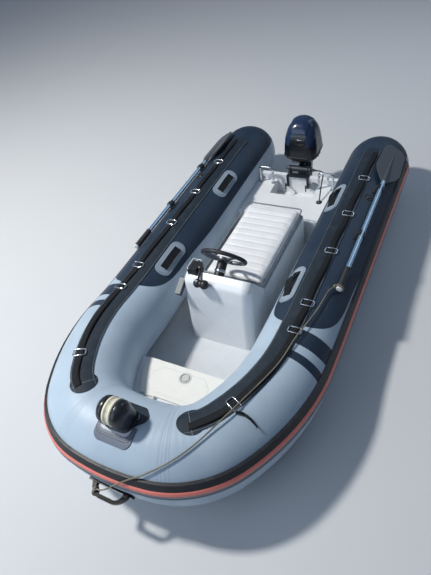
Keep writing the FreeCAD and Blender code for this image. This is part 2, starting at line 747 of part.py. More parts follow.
seat = block(seat_aft, seat_front, -seat_half, seat_half, floor_top, seat_box_top)
seat = seat.makeFillet(30, [e for e in seat.Edges if abs(e.tangentAt(e.FirstParameter).z) > 0.9])
parts["seat_box"] = seat
cushion = block(seat_aft + seat_gap, seat_front - seat_gap, -seat_half + seat_gap, seat_half - seat_gap, seat_box_top, seat_box_top + cushion_thick)
cushion = cushion.makeFillet(28, [e for e in cushion.Edges if abs(e.tangentAt(e.FirstParameter).z) > 0.9])
cushion = cushion.makeFillet(16, [e for e in cushion.Edges if e.BoundBox.ZMin > seat_box_top + cushion_thick - 1])
parts["seat_cushion"] = cushion

# ---------------------------------------------------------------- helm
wt = radians(wheel_tilt)
wheel_axis = V(-cos(wt), 0, sin(wt))
foot_at = V(column_foot[0], 0, column_foot[1])
column = Part.makeCylinder(column_radius, column_length + 40, foot_at - wheel_axis * 40, wheel_axis)
column = fused([column, Part.makeCylinder(7, wheel_hub_gap + wheel_hub_length - 4, foot_at + wheel_axis * column_length, wheel_axis)])
parts["helm_column"] = column.cut(parts["console_shell"]).common(block(-200, console_ridge, -200, 200, 0, 900))
wheel_centre = foot_at + wheel_axis * (column_length + wheel_hub_gap + wheel_hub_length / 2)
rim = Part.makeTorus(wheel_radius - wheel_rim, wheel_rim, wheel_centre + wheel_axis * 14, wheel_axis)
hub = Part.makeCylinder(40, wheel_hub_length, wheel_centre - wheel_axis * (wheel_hub_length / 2), wheel_axis)
side = V(0, 1, 0)
spokes = []
for turn in (90, 210, 330):
    d = FreeCAD.Rotation(wheel_axis, turn).multVec(side)
    start = wheel_centre + d * 30
    stop = wheel_centre + wheel_axis * 14 + d * (wheel_radius - wheel_rim)
    spokes.append(Part.makeCylinder(spoke_radius, (stop - start).Length, start, stop - start))
wheel = fused([rim, hub] + spokes)
bore = Part.makeCylinder(7 + running_fit, wheel_hub_length - 2, wheel_centre - wheel_axis * (wheel_hub_length / 2 + 0.01), wheel_axis)
parts["steering_wheel"] = wheel.cut(bore)

lx, ly, lz = throttle_size
tx, ty = throttle_at
box = block(tx - lx / 2, tx + lx / 2, ty - ly / 2, ty + ly / 2, console_top - 40, console_top - 40 + lz)
parts["throttle_box"] = box.cut(parts["console_shell"])
pivot = V(tx + 4, ty + ly / 2, console_top + 18)
boss = Part.makeCylinder(20, 14, pivot, Y)
grip_at = V(throttle_grip[0], pivot.y + 33, throttle_grip[1])
arm = Part.makeCylinder(8, (grip_at - pivot).Length, pivot + Y * 10, grip_at - pivot - Y * 10)
grip = Part.makeCylinder(grip_radius, grip_length, grip_at, Y)
grip = grip.fuse([Part.makeSphere(r, grip_at + Y * y) for r, y in zip(grip_lobes, (0.0, grip_length))])
parts["throttle_lever"] = fused([boss, arm, grip])

# ---------------------------------------------------------------- stern rails, disc, console bar
rail_pieces = []
rx, ry0, ry1, rz, rr = deck_aft_x + 48, 192.0, 304.0, 362.0, 9.0
bend = 28.0
for sign in (1, -1):
    a, b = sign * ry0, sign * ry1
    legs = [Part.makeCylinder(rr, rz - bend - aft_deck_top, V(rx, y, aft_deck_top)) for y in (a, b)]
    top = Part.makeCylinder(rr, abs(b - a) - 2 * bend, V(rx, a + sign * bend, rz), Y * sign)
    elbows = []
    for y, inward in ((a, sign), (b, -sign)):
        centre = V(rx, y + inward * bend, rz - bend)
        ring_face = Part.Face(Part.Wire(Part.Circle(V(rx, y, rz - bend), Z, rr).toShape()))
        elbows.append(ring_face.revolve(centre, X * (-inward), 90))
    feet = [Part.makeCylinder(20, 4, V(rx, y, aft_deck_top)) for y in (a, b)]
    rail_pieces.append(less_tubes(fused(legs + [top] + elbows + feet)))
parts["stern_rails"] = Part.makeCompound(rail_pieces)

disc_at = V(deck_aft_x, 134, 198)
parts["transom_disc"] = fused([Part.makeCylinder(38, 5, disc_at, X), Part.makeCylinder(31, 9, disc_at, X)])

bar = polygon([V(x, side_bar_thick / 2 - console_half, z) for x, z in side_bar]).extrude(Y * (-1.5 * side_bar_thick))
parts["console_bar"] = bar.cut(parts["console_shell"])

# ---------------------------------------------------------------- oars
oa = radians(oar_angle)


def oar():
    f = frame_at(oar_shaft_aft)
    radial = f.n * sin(oa) + f.b * cos(oa)
    across = f.n * cos(oa) - f.b * sin(oa)
    at = lambda x, v=0.0, r=0.0: V(x, f.p.y, f.p.z) + across * v + radial * (oar_radial + r)
    shaft = Part.makeCylinder(oar_shaft_radius, oar_shaft_fore - oar_shaft_aft, at(oar_shaft_aft), X)
    grip = Part.makeCylinder(oar_grip_radius, oar_grip_length, at(oar_shaft_fore), X)
    grip = grip.makeFillet(8, [e for e in grip.Edges if e.BoundBox.XMin > oar_shaft_fore + oar_grip_length - 1])
    L, w = oar_blade_length, oar_blade_half
    outline = [(0, -20), (-L * 0.2, -w * 0.8), (-L * 0.34, -w), (-L * 0.9, -w * 0.86), (-L, -w * 0.5),
               (-L, w * 0.5), (-L * 0.9, w * 0.86), (-L * 0.34, w), (-L * 0.2, w * 0.8), (0, 20)]
    plate = polygon([at(oar_shaft_aft + u, v, -oar_blade_thick / 2) for u, v in outline]).extrude(radial * oar_blade_thick)
    rib = Part.makeCone(oar_shaft_radius + 1.5, 4.5, L * 0.8, at(oar_shaft_aft), X * -1)
    blade = fused([plate, rib])
    clips = []
    for s in clip_stations:
        a = width_angle(34.0)
        patch = swept(sector(tube_radius, tube_radius + 4, oar_angle - a, oar_angle + a), s - 45, s + 45)
        post = polygon([at(s - clip_length / 2, v, r - oar_radial) for v, r in (
            (-17, tube_radius + 2), (17, tube_radius + 2), (12, oar_radial), (-12, oar_radial))]).extrude(X * clip_length)
        collar = Part.makeCylinder(oar_shaft_radius + clip_wall, clip_length, at(s - clip_length / 2), X)
        mouth = polygon([at(s - clip_length, v, r) for v, r in ((-9, 0), (9, 0), (15, 40), (-15, 40))]).extrude(X * (2 * clip_length))
        hole = Part.makeCylinder(oar_shaft_radius, clip_length * 2, at(s - clip_length), X)
        clips.append(fused([patch, post, collar]).cut(mouth).cut(hole))
    return shaft, grip, blade, clips


shaft, grip, blade, clips = oar()
parts["oar_shafts"] = both(shaft)
parts["oar_grips"] = both(grip)
parts["oar_blades"] = both(blade)
parts["oar_clips"] = Part.makeCompound([q for c in clips for q in (c, mirrored(c))])

# ---------------------------------------------------------------- outboard motor
tilt = V(tilt_axis[0], 0, tilt_axis[1])
back, front = transom_x, transom_x + transom_thick
bracket = []
for sign in (1, -1):
    y0 = sign * (clamp_half - clamp_plate)
    lo, hi = sorted((y0, sign * clamp_half))
    arm = transom_top + clamp_top
    bracket.append(polygon([V(x, lo, z) for x, z in (
        (back, 70), (back - 24, 64), (back - 46, 240), (back - 46, tilt.z), (tilt.x, tilt.z + 20), (tilt.x + 21, tilt.z), (back + 4, arm),
        (front + clamp_hook, arm), (front + clamp_hook, transom_top - 96), (front, transom_top - 96), (front, transom_top), (back, transom_top))]).extrude(Y * (hi - lo)))
    bracket.append(Part.makeCylinder(tilt_boss_radius, hi - lo, V(tilt.x, lo, tilt.z), Y))
    screw = Part.makeCylinder(7, 46, V(front + clamp_hook - 2, (lo + hi) / 2, transom_top - 62), X)
    tee = Part.makeCylinder(5, 56, V(front + 60, (lo + hi) / 2, transom_top - 90), Z)
    bracket += [screw, tee]
bracket.append(block(back - 24, back, -clamp_half + 4, clamp_half - 4, 70, 96))
bracket.append(block(back, front + clamp_hook, -clamp_half + 4, clamp_half - 4, transom_top, transom_top + 6))
bracket.append(Part.makeCylinder(tilt_tube_radius, 2 * tilt_tube_half, tilt - Y * tilt_tube_half, Y))
parts["clamp_bracket"] = fused(bracket)

swivel_half = clamp_half - clamp_plate - swivel_gap
barrel = Part.makeCylinder(barrel_radius, barrel_top - barrel_low, V(steer_x, 0, barrel_low))
sleeve = Part.makeCylinder(tilt_boss_radius, 2 * swivel_half, tilt - Y * swivel_half, Y)
web = prism_xz(((steer_x, barrel_top - 4), (steer_x + 30, barrel_top - 2), (tilt.x, tilt.z + 16), (tilt.x - 6, tilt.z - 20), (steer_x + 16, 90)), 22)
hole_tilt = Part.makeCylinder(tilt_tube_radius + running_fit, 400, tilt - Y * 200, Y)
hole_steer = Part.makeCylinder(stem_radius + running_fit, 600, V(steer_x, 0, -200))
parts["swivel_bracket"] = fused([barrel, sleeve, web]).cut(hole_tilt).cut(hole_steer)

def motor_loft(rows):
    return Part.makeLoft([rounded(steer_x + x, 0, z, lx, ly, r) for z, x, lx, ly, r in rows], True, True)


leg = motor_loft(leg_rows)
stem = Part.makeCylinder(stem_radius, yoke_top_z - yoke_low_z, V(steer_x, 0, yoke_low_z))
yokes = []
for z, thick in ((yoke_top_z, 24.0), (yoke_low_z, 30.0)):
    yokes.append(Part.makeCylinder(yoke_radius, thick, V(steer_x, 0, z)))
    yokes.append(block(steer_x - 90, steer_x, -22, 22, z, z + thick))
parts["motor_leg"] = leg.fuse([stem] + yokes)

plate = Part.Face(rounded(steer_x - plate_behind, 0, plate_z - 2 * plate_thick, plate_length, plate_width, plate_corner)).extrude(Z * plate_thick)
strut = motor_loft(strut_rows)
T = lambda x, r: V(x, 0, shaft_z + r)
nose_mid = gear_nose - gear_radius
torpedo = Part.makeCone(gear_radius - 6, gear_radius, nose_mid - gear_tail, T(gear_tail, 0), X)
torpedo = torpedo.fuse(Part.makeSphere(gear_radius, T(nose_mid, 0)))
fin = prism_xz([(steer_x + x, shaft_z + z) for x, z in skeg], skeg_half)
shaft_out = Part.makeCylinder(propeller_shaft_radius, hub_length + propeller_gap + 12, T(gear_tail + 2, 0), X * -1)
parts["gearcase"] = fused([plate, strut, torpedo, fin, shaft_out])

hub_aft = gear_tail - propeller_gap - hub_length
hub = Part.makeCylinder(hub_radius, hub_length, T(hub_aft, 0), X)
blades = []
for turn in (0, 120, 240):
    wires = []
    for r, reach, chord, thick in blade_rows:
        c = hub_aft + hub_length / 2
        corners = [V(c + reach * u + thick * v, chord * u, shaft_z + r) for u, v in ((1, 1), (-1, 1), (-1, -1), (1, -1))]
        wires.append(Part.makePolygon(corners + corners[:1]))
    blade = Part.makeLoft(wires, True, True)
    blade.rotate(T(0, 0), X, turn)
    blades.append(blade)
bore = Part.makeCylinder(propeller_shaft_radius + running_fit, 2 * hub_length, T(hub_aft - 20, 0), X)
parts["propeller"] = fused([hub] + blades).cut(bore)

parts["cowl_pan"] = Part.makeLoft([rounded(cowl_x + off, 0, z, lx, ly, r, rear) for z, lx, ly, off, r, rear in pan_rows], True, True)


def cowl_loft(shrink):
    wires = []
    for up, long, wide, back, r, rear in cowl_rows:
        z = cowl_bottom + up * (cowl_height - shrink) - (1.0 if shrink and up == 0 else 0.0)
        middle = cowl_x + (cowl_length - cowl_length * long) / 2 - back
        wires.append(rounded(middle, 0, z, cowl_length * long - 2 * shrink, cowl_width * wide - 2 * shrink, r - shrink, rear - shrink))
    return Part.makeLoft(wires, True, False)


parts["upper_cowl"] = cowl_loft(0).cut(cowl_loft(cowl_wall))
parts["engine_block"] = block(cowl_x - engine_back, cowl_x + engine_ahead, -engine_half, engine_half, cowl_bottom, cowl_bottom + engine_height)


# ---------------------------------------------------------------- cords
# straight runs joined by tangent arcs
def tube_along(points, radius):
    pts = [V(*p) for p in points]
    faces = []
    cur = pts[0]
    pieces = []
    for i in range(1, len(pts) - 1):
        a, b, c = pts[i - 1], pts[i], pts[i + 1]
        u, w = (a - b).normalize(), (c - b).normalize()
        turn = pi - u.getAngle(w)
        reach = 0.45 * min((b - a).Length, (c - b).Length)
        start, stop = b + u * reach, b + w * reach
        r = reach / tan(turn / 2)
        pieces.append(("line", cur, start))
        mid_dir = (u + w).normalize()
        centre = b + mid_dir * (r / cos(turn / 2))
        mid = centre - mid_dir * r
        pieces.append(("arc", start, mid, stop, centre, degrees(turn), r))
        cur = stop
    pieces.append(("line", cur, pts[-1]))
    edges = [Part.makeLine(p[1], p[2]) if p[0] == "line" else Part.Arc(p[1], p[2], p[3]).toShape() for p in pieces]
    solids = []
    for p in pieces:
        if p[0] == "line":
            solids.append(Part.makeCylinder(radius, (p[2] - p[1]).Length, p[1], p[2] - p[1]))
        else:
            _, start, mid, stop, centre, angle, r = p
            axis = (start - centre).cross(stop - centre).normalize()
            t = axis.cross(start - centre)
            circle = Part.Face(Part.Wire(Part.Circle(start, t, radius).toShape()))
            solids.append(circle.revolve(centre, axis, angle))
    return fused(solids)


steering_cable_points = (
    (-1146, 118.5, 306), (-1146, 150, 307), (-1136, 180, 310), (-1111, 202, 315), (-1076, 214, 319), (-1036, 221, 317),
    (-996, 227, 307), (-958, 233, 290), (-922, 239, 269), (-890, 243, 246), (-868, 246, 228))
cable_radius = 5.0
parts["steering_cable"] = tube_along(steering_cable_points, cable_radius)
gland_dir = (V(*steering_cable_points[-2]) - V(*steering_cable_points[-1])).normalize()
gland_at = V(*steering_cable_points[-1])
gland = Part.makeCylinder(13, 40, gland_at - gland_dir * 40, gland_dir).common(block(-1000, -700, 200, 300, aft_deck_top, 400))
parts["cable_gland"] = fused([gland, Part.makeCylinder(22, 4, V(gland_at.x + 8, gland_at.y, aft_deck_top))])

painter_points = (
    (1671, -60, 311), (1673, -28, 329), (1666, 8, 356), (1653, 46, 391), (1640, 80, 420), (1618, 123, 449),
    (1582, 192, 477), (1539, 257, 506), (1486, 316, 528), (1422, 367, 544), (1350, 407, 553), (1274, 440, 558),
    (1198, 471, 560), (1119, 498, 555), (1041, 522, 545), (962, 546, 536), (883, 569, 527), (802, 587, 519),
    (720, 595, 512), (637, 602, 508), (556, 616, 499), (475, 630, 486), (394, 642, 477), (311, 650, 473),
    (229, 655, 471), (197, 676, 472))
painter_radius = 4.0
knot_radius = 9.0
knot_lie = knot_radius + 0.3
parts["painter"] = tube_along(painter_points, painter_radius)


def hitch(centre, along, inside, tail):
    low, high = inside + 0.3, inside + 2 * painter_radius
    wrap = Part.makeCylinder(high, 4 * painter_radius, centre, along).cut(Part.makeCylinder(low, 4 * painter_radius, centre, along))
    return wrap.fuse(Part.makeSphere(knot_radius, tail)).cut(Part.makeCylinder(low, 80, centre - along * 30, along))


oar_y = shaft.CenterOfMass.y
oar_z = shaft.CenterOfMass.z
oar_knot = V(*painter_points[-1]) + (V(*painter_points[-1]) - V(*painter_points[-2])).normalize() * knot_lie
bow_knot = V(*painter_points[0]) + (V(*painter_points[0]) - V(*painter_points[1])).normalize() * knot_lie
bar_centre = nose.p + Y * (bow_knot.y - 2) + b_rad * (r0 + hitch_out)
parts["painter_knots"] = Part.makeCompound([
    hitch(V(oar_knot.x - 11, oar_y, oar_z), X, oar_grip_radius, oar_knot),
    fused([Part.makeSphere(knot_radius, bow_knot),
           Part.makeCylinder(hitch_radius, 16, bar_centre - Y * 8, Y)]).cut(hand_bar)])

for name, shape in parts.items():
    if not shape.isValid():
        print("not valid", name)

os.makedirs("parts", exist_ok=True)
for name, shape in parts.items():
    solids = shape.Solids
    body = solids[0] if len(solids) == 1 else Part.makeCompound(solids)
    body.exportStep("parts/%s.step" % name)
    bb = body.optimalBoundingBox()
    print("%-24s %2d  x %7.1f %7.1f  y %7.1f %7.1f  z %7.1f %7.1f  vol %.4f" % (
        name, len(solids), bb.XMin, bb.XMax, bb.YMin, bb.YMax, bb.ZMin, bb.ZMax, body.Volume / 1e9))
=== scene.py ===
import bpy, bmesh, json, random
from math import sin, cos, pi, radians, degrees, hypot
from mathutils import Vector, Matrix, Quaternion


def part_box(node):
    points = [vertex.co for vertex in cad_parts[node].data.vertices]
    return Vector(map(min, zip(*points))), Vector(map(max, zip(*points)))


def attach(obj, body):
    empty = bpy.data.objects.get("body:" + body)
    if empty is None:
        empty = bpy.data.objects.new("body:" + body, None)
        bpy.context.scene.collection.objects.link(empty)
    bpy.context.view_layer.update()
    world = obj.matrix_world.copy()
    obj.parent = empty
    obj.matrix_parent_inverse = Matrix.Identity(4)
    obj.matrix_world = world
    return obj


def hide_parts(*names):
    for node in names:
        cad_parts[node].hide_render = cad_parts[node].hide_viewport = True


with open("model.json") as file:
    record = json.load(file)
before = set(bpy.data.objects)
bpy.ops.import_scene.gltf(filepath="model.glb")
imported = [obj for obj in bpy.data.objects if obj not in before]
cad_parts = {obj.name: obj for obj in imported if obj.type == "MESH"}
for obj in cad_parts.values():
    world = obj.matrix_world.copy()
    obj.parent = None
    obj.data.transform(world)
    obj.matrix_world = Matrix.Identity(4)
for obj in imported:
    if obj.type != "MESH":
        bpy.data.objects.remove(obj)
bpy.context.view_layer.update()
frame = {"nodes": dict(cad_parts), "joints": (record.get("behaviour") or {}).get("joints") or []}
nodes = frame["nodes"]
print("loaded", len(nodes), "nodes")

# camera
camera = {
    "place": (2.13954, 1.25599, 2.59641),
    "right": (-0.42951, 0.88716, -0.16870),
    "up": (-0.69454, -0.20512, 0.68960),
    "forward": (-0.57718, -0.41336, -0.70427),
    "focalPixels": 498.09,
    "longSide": 575,
    "sensor": 36.0,
}
lensData = bpy.data.cameras.new("camera")
lensData.sensor_fit = "AUTO"
lensData.sensor_width = camera["sensor"]
lensData.lens = camera["focalPixels"] / camera["longSide"] * camera["sensor"]
lensData.clip_end = 60
eye = bpy.data.objects.new("camera", lensData)
bpy.context.scene.collection.objects.link(eye)
axes = Matrix((camera["right"], camera["up"], [-c for c in camera["forward"]])).transposed()
eye.matrix_world = Matrix.Translation(camera["place"]) @ axes.to_4x4()
bpy.context.scene.camera = eye

# the collar's centreline, as in the CAD: a straight run, a bend upwards, then the bow's three bends
tube = {"radius": 0.235, "half": 0.5635, "height": 0.240, "aft": -1.360, "rise": 0.371}
bends = (("rise", 3.148, 5.57), ("side", 1.1046, 30.0), ("corner", 0.3277, 51.59), ("nose", None, 8.41))


def centreline():
    p = Vector((tube["aft"], tube["half"], tube["height"]))
    t, n, b = Vector((1, 0, 0)), Vector((0, 1, 0)), Vector((0, 0, 1))
    s = tube["rise"]
    runs = [(tube["aft"], s, p, t, n, b, None, None, 0.0)]
    p = p + t * (s - tube["aft"])
    for kind, radius, angle in bends:
        radius = radius or p.y / cos(radians(90.0 - angle))
        centre, axis = (p + b * radius, -n) if kind == "rise" else (p - n * radius, -b)
        end = s + radians(angle) * radius
        runs.append((s, end, p, t, n, b, centre, axis, radians(angle)))
        q = Quaternion(axis, radians(angle))
        p, t, n, b = centre + q @ (p - centre), q @ t, q @ n, q @ b
        s = end
    return runs


track = centreline()
trackEnd = track[-1][1]


# a point by its travel along the tube, its turn round it (0 on top, positive outwards) and its distance out
def place(s, angle, radius=None, side=1):
    for s0, s1, p, t, n, b, centre, axis, turn in track:
        if s <= s1 + 1e-9:
            break
    if centre is None:
        p = p + t * (s - s0)
    else:
        q = Quaternion(axis, turn * (s - s0) / (s1 - s0))
        p, n, b = centre + q @ (p - centre), q @ n, q @ b
    a = radians(angle)
    v = p + (n * sin(a) + b * cos(a)) * (tube["radius"] if radius is None else radius)
    return Vector((v.x, v.y * side, v.z))


# shader toolkit
class Socket:
    def __init__(self, shader, out):
        self.shader, self.out = shader, out

    def __add__(self, other):
        return self.shader.maths("ADD", self, other)

    __radd__ = __add__

    def __sub__(self, other):
        return self.shader.maths("SUBTRACT", self, other)

    def __rsub__(self, other):
        return self.shader.maths("SUBTRACT", other, self)

    def __mul__(self, other):
        return self.shader.maths("MULTIPLY", self, other)

    __rmul__ = __mul__

    def __truediv__(self, other):
        return self.shader.maths("DIVIDE", self, other)

    def __abs__(self):
        return self.shader.maths("ABSOLUTE", self)

    def __pow__(self, other):
        return self.shader.maths("POWER", self, other)

    def below(self, edge, soft=0.0005):
        return self.shader.step(self, edge + soft, edge - soft)

    def above(self, edge, soft=0.0005):
        return self.shader.step(self, edge - soft, edge + soft)


class Shader:
    def __init__(self, name, metallic=0.0, coat=0.0, specular=0.5):
        self.material = bpy.data.materials.new(name)
        self.material.use_nodes = True
        self.tree = self.material.node_tree
        self.tree.nodes.clear()
        self.bsdf = self.tree.nodes.new("ShaderNodeBsdfPrincipled")
        out = self.tree.nodes.new("ShaderNodeOutputMaterial")
        self.tree.links.new(self.bsdf.outputs[0], out.inputs[0])
        self.put(self.bsdf, {"Metallic": metallic, "Coat Weight": coat, "Coat Roughness": 0.08,
                             "Specular IOR Level": specular})
        self.here = self.node("ShaderNodeTexCoord", out="Object")
        parts = self.tree.nodes.new("ShaderNodeSeparateXYZ")
        self.put(parts, {0: self.here})
        self.x, self.y, self.z = (Socket(self, parts.outputs[k]) for k in range(3))

    def put(self, node, values):
        for key, value in values.items():
            plug = node.inputs[key]
            if isinstance(value, Socket):
                self.tree.links.new(value.out, plug)
            elif plug.type == "RGBA":
                plug.default_value = (*value[:3], 1.0)
            else:
                plug.default_value = value

    def node(self, kind, values=None, out=0, **settings):
        made = self.tree.nodes.new(kind)
        for key, value in settings.items():
            setattr(made, key, value)
        self.put(made, values or {})
        return Socket(self, made.outputs[out])

    def maths(self, kind, *values):
        return self.node("ShaderNodeMath", dict(enumerate(values)), operation=kind)

    def step(self, value, low, high):
        return self.node("ShaderNodeMapRange", {0: value, 1: low, 2: high}, interpolation_type="SMOOTHSTEP")

    def mix(self, factor, a, b):
        return self.node("ShaderNodeMix", {0: factor, 6: a, 7: b}, out=2, data_type="RGBA")

    def point(self, x, y, z):
        return self.node("ShaderNodeCombineXYZ", {0: x, 1: y, 2: z})

    def noise(self, scale, detail=3.0, at=None, rough=0.55):
        values = {"Vector": at or self.here, "Scale": scale, "Detail": detail, "Roughness": rough}
        return self.node("ShaderNodeTexNoise", values)

    def cells(self, scale):
        return self.node("ShaderNodeTexVoronoi", {"Vector": self.here, "Scale": scale})

    def wave(self, value, pitch):
        return self.maths("SINE", value * (2 * pi / pitch))

    def length(self, *values):
        return self.node("ShaderNodeVectorMath", {0: self.point(*values)}, out=1, operation="LENGTH")

    def angle(self, a, b):
        return self.maths("ARCTAN2", a, b) * (180 / pi)

    def patches(self, scale, detail, low, high, **more):
        return self.step(self.noise(scale, detail, **more), low, high)

    def finish(self, colour, roughness, height, metallic=None):
        bump = self.node("ShaderNodeBump", {"Height": height, "Distance": 1.0, "Strength": 1.0})
        self.put(self.bsdf, {"Base Color": colour, "Roughness": roughness, "Normal": bump})
        if metallic is not None:
            self.put(self.bsdf, {"Metallic": metallic})
        return self.material


def dress(material, *names):
    for name in names:
        slots = nodes[name].data.materials
        if not slots:
            slots.append(material)
        for k in range(len(slots)):
            slots[k] = material


def middle(name):
    low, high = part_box(name)
    return (Vector(low) + Vector(high)) / 2


def jointNamed(name):
    joint = next(j for j in frame["joints"] if j["name"] == name)
    return Vector(joint["pos_m"]), Vector(joint["axis"])


# collar fabric
fabric = {
    "grey": (0.425, 0.520, 0.610), "greyDeep": (0.355, 0.440, 0.525), "tape": (0.17, 0.22, 0.28),
    "charcoal": (0.012, 0.026, 0.050), "charcoalWorn": (0.028, 0.048, 0.077),
    "stripeWorn": (0.034, 0.053, 0.082), "scratch": (0.42, 0.45, 0.48), "roughness": 0.40,
    "panelEdge": 58.7, "panelStart": 0.10, "panelReach": 0.43, "panelPower": 3.7, "aftFlare": 6.0,
    "stripes": ((0.549, 0.661), (0.7256, 0.7743)), "stripeFrom": 8.0, "stripeTo": 75.0,
    "seams": (-1.352, -1.372, -0.560, -0.538, 1.476, 1.4875, 1.500, 1.512), "seamWidth": 0.0011,
    "weavePitch": 0.0016, "weave": 0.00002, "foldPitch": 0.031, "fold": 0.00022,
    "tapeStep": 0.00045, "panelStep": 0.0007, "stripeStep": 0.0004, "swell": 0.0012,
}
# the bow's bends seen square to their raised plane: centre, radius, first and last turn
arcs = (
    (0.0, -0.5411, 1.1046, 0.0, 30.0),
    (0.38845, 0.13172, 0.3277, 30.0, 81.59),
    (-0.50247, 0.0, 1.2283, 81.59, 90.0),
)
bowPlane = {"x": 0.6765, "z": 0.25486, "start": 0.677}


# travel and turn of a surface point, worked out in the shader
def alongTube(m):
    riseRadius, riseTurn = bends[0][1:]
    tilt = radians(riseTurn)
    ay = abs(m.y)
    past = m.x - tube["rise"]
    lift = past * past * (m.x.above(tube["rise"], 0.0001) / (2 * riseRadius))
    s, angle = m.x, m.angle(ay - tube["half"], m.z - tube["height"] - lift)
    dx, dz = m.x - bowPlane["x"], m.z - bowPlane["z"]
    u = dx * cos(tilt) + dz * sin(tilt)
    w = dz * cos(tilt) - dx * sin(tilt)
    start = bowPlane["start"]
    for cx, cy, radius, first, last in arcs:
        turn = m.angle(u - cx, ay - cy)
        out = m.length(u - cx, ay - cy, 0.0) - radius
        # each bend takes over where its own sweep begins
        on = u.above(0.0, 0.0001)
        if cx:
            on = (turn - first).above(0.0, 0.001) * (u - cx).above(0.0, 0.0001)
        here = start + (turn - first) * (radians(1) * radius)
        s = s + (here - s) * on
        angle = angle + (m.angle(out, w) - angle) * on
        start += radians(last - first) * radius
    return s, angle


def collarFabric():
    f = fabric
    m = Shader("collar_fabric", specular=0.35)
    s, angle = alongTube(m)
    # the charcoal panel over the aft half: rounded in front, a little wider aft
    past = m.maths("MAXIMUM", s - f["panelStart"], 0.0) / f["panelReach"]
    wide = f["panelEdge"] + (-0.05 - s).above(0.0, 0.25) * f["aftFlare"]
    panel = ((abs(angle) / wide) ** 2.0 + past ** f["panelPower"]).below(1.0, 0.006)
    outer = angle.above(f["stripeFrom"], 0.1) * angle.below(f["stripeTo"], 0.1)
    stripe, tape = 0.0, 0.0
    for a, b in f["stripes"]:
        stripe = stripe + s.above(a) * s.below(b) * outer
    for at in f["seams"]:
        tape = tape + abs(s - at).below(f["seamWidth"], 0.0008)
    tone = m.patches(2.3, 4.0, 0.35, 0.68)
    dust = m.patches(14.0, 6.0, 0.52, 0.80, rough=0.7)
    streaks = m.noise(9.0, 5.0, at=m.point(s * 1.5, angle * 0.02, m.z * 22.0), rough=0.6)
    grey = m.mix(tone, f["grey"], f["greyDeep"])
    grey = m.mix(tape * 0.30, grey, f["tape"])
    dark = m.mix(tone * 0.5 + dust * 0.35, f["charcoal"], f["charcoalWorn"])
    colour = m.mix(panel, grey, dark)
    colour = m.mix(stripe, colour, m.mix(tone * 0.5 + dust * 0.3, f["charcoal"], f["stripeWorn"]))
    colour = m.mix(m.step(streaks, 0.62, 0.74) * 0.10, colour, f["scratch"])
    across = angle * (radians(1) * tube["radius"])
    weave = m.wave(s, f["weavePitch"]) * m.wave(across, f["weavePitch"]) * f["weave"]
    # small folds across the tight turn of the bow
    atBow = s.above(1.30, 0.10) * s.below(1.58, 0.08) * abs(angle + 8.0).below(40.0, 22.0)
    folds = m.wave(s + m.noise(5.0, 2.0) * 0.012, f["foldPitch"]) * atBow * f["fold"]
    steps = tape * f["tapeStep"] + panel * f["panelStep"] + stripe * f["stripeStep"]
    height = weave + folds + steps + m.noise(5.0, 2.0) * f["swell"]
    return m.finish(colour, f["roughness"] + tone * 0.08 + dust * 0.10 + panel * 0.06, height)


dress(collarFabric(), "collar_port", "collar_starboard", "collar_bow", "end_cone_port", "end_cone_starboard")
print("collar fabric")

# strake, bands, webbing
# the strake's downward-facing lower half gets a painted sky reflection in grey
strake = {
    "black": (0.016, 0.018, 0.022), "dust": (0.070, 0.075, 0.080), "paintedSkyReflection": (0.115, 0.130, 0.155),
    "line": (0.40, 0.43, 0.47), "salmon": (0.86, 0.235, 0.185), "salmonDeep": (0.60, 0.130, 0.105),
    "salmonDust": (0.45, 0.22, 0.19), "lowerFrom": 79.4, "lineAt": 79.9, "lineHalf": 0.45,
    "ribPitch": 0.0058, "rib": 0.00035,
}


def strakeRubber():
    k = strake
    m = Shader("strake_rubber", specular=0.3)
    angle = alongTube(m)[1]
    dust = m.patches(16.0, 6.0, 0.45, 0.80, rough=0.7)
    line = abs(angle - k["lineAt"]).below(k["lineHalf"], 0.15)
    colour = m.mix(dust * 0.35, k["black"], k["dust"])
    # painted reflection: the lower half of the strake, facing down, is coloured grey as if it reflected the sky
    colour = m.mix(angle.above(k["lowerFrom"], 0.25), colour, k["paintedSkyReflection"])
    colour = m.mix(line * 0.8, colour, k["line"])
    return m.finish(colour, 0.42 + dust * 0.2, m.wave(angle, 1.3) * 0.00012 + m.noise(420.0, 2.0) * 0.00006)


def strakeInsert():
    k = strake
    m = Shader("strake_insert")
    s, angle = alongTube(m)
    rib = m.wave(s + angle * 0.0012, k["ribPitch"])
    dust = m.patches(22.0, 5.0, 0.42, 0.78, rough=0.7)
    colour = m.mix(rib * 0.22 + 0.25, k["salmon"], k["salmonDeep"])
    colour = m.mix(dust * 0.35, colour, k["salmonDust"])
    return m.finish(colour, 0.42 + dust * 0.15, rib * k["rib"])


band = {
    "dark": (0.008, 0.015, 0.024), "light": (0.022, 0.033, 0.048), "dust": (0.085, 0.105, 0.130),
    "stitch": (0.36, 0.42, 0.48), "radius": 0.2385, "middle": -4.5, "stitchOut": 13.6, "tipStitch": 1.385,
    "twillPitch": 0.0042, "twill": 0.00018,
}


def bandFabric():
    b = band
    m = Shader("grab_band_fabric", specular=0.3)
    s, angle = alongTube(m)
    across = angle * (radians(1) * b["radius"])
    twill = m.wave(s + across, b["twillPitch"]) * m.wave(s - across, b["twillPitch"])
    seam = abs(s - b["tipStitch"]).below(0.0013, 0.0006)
    seam = seam + abs(abs(angle - b["middle"]) - b["stitchOut"]).below(0.18, 0.10)
    dust = m.patches(18.0, 6.0, 0.45, 0.80, rough=0.7)
    colour = m.mix(twill * 0.25 + 0.35, b["dark"], b["light"])
    colour = m.mix(dust * 0.25, colour, b["dust"])
    colour = m.mix(m.maths("MINIMUM", seam, 1.0) * 0.50, colour, b["stitch"])
    return m.finish(colour, 0.5 + dust * 0.15, twill * b["twill"] + seam * 0.0003)


webbing = {"dark": (0.003, 0.004, 0.005), "light": (0.013, 0.015, 0.019), "dust": (0.030, 0.031, 0.033),
           "ribPitch": 0.0026, "herringPitch": 0.0052}


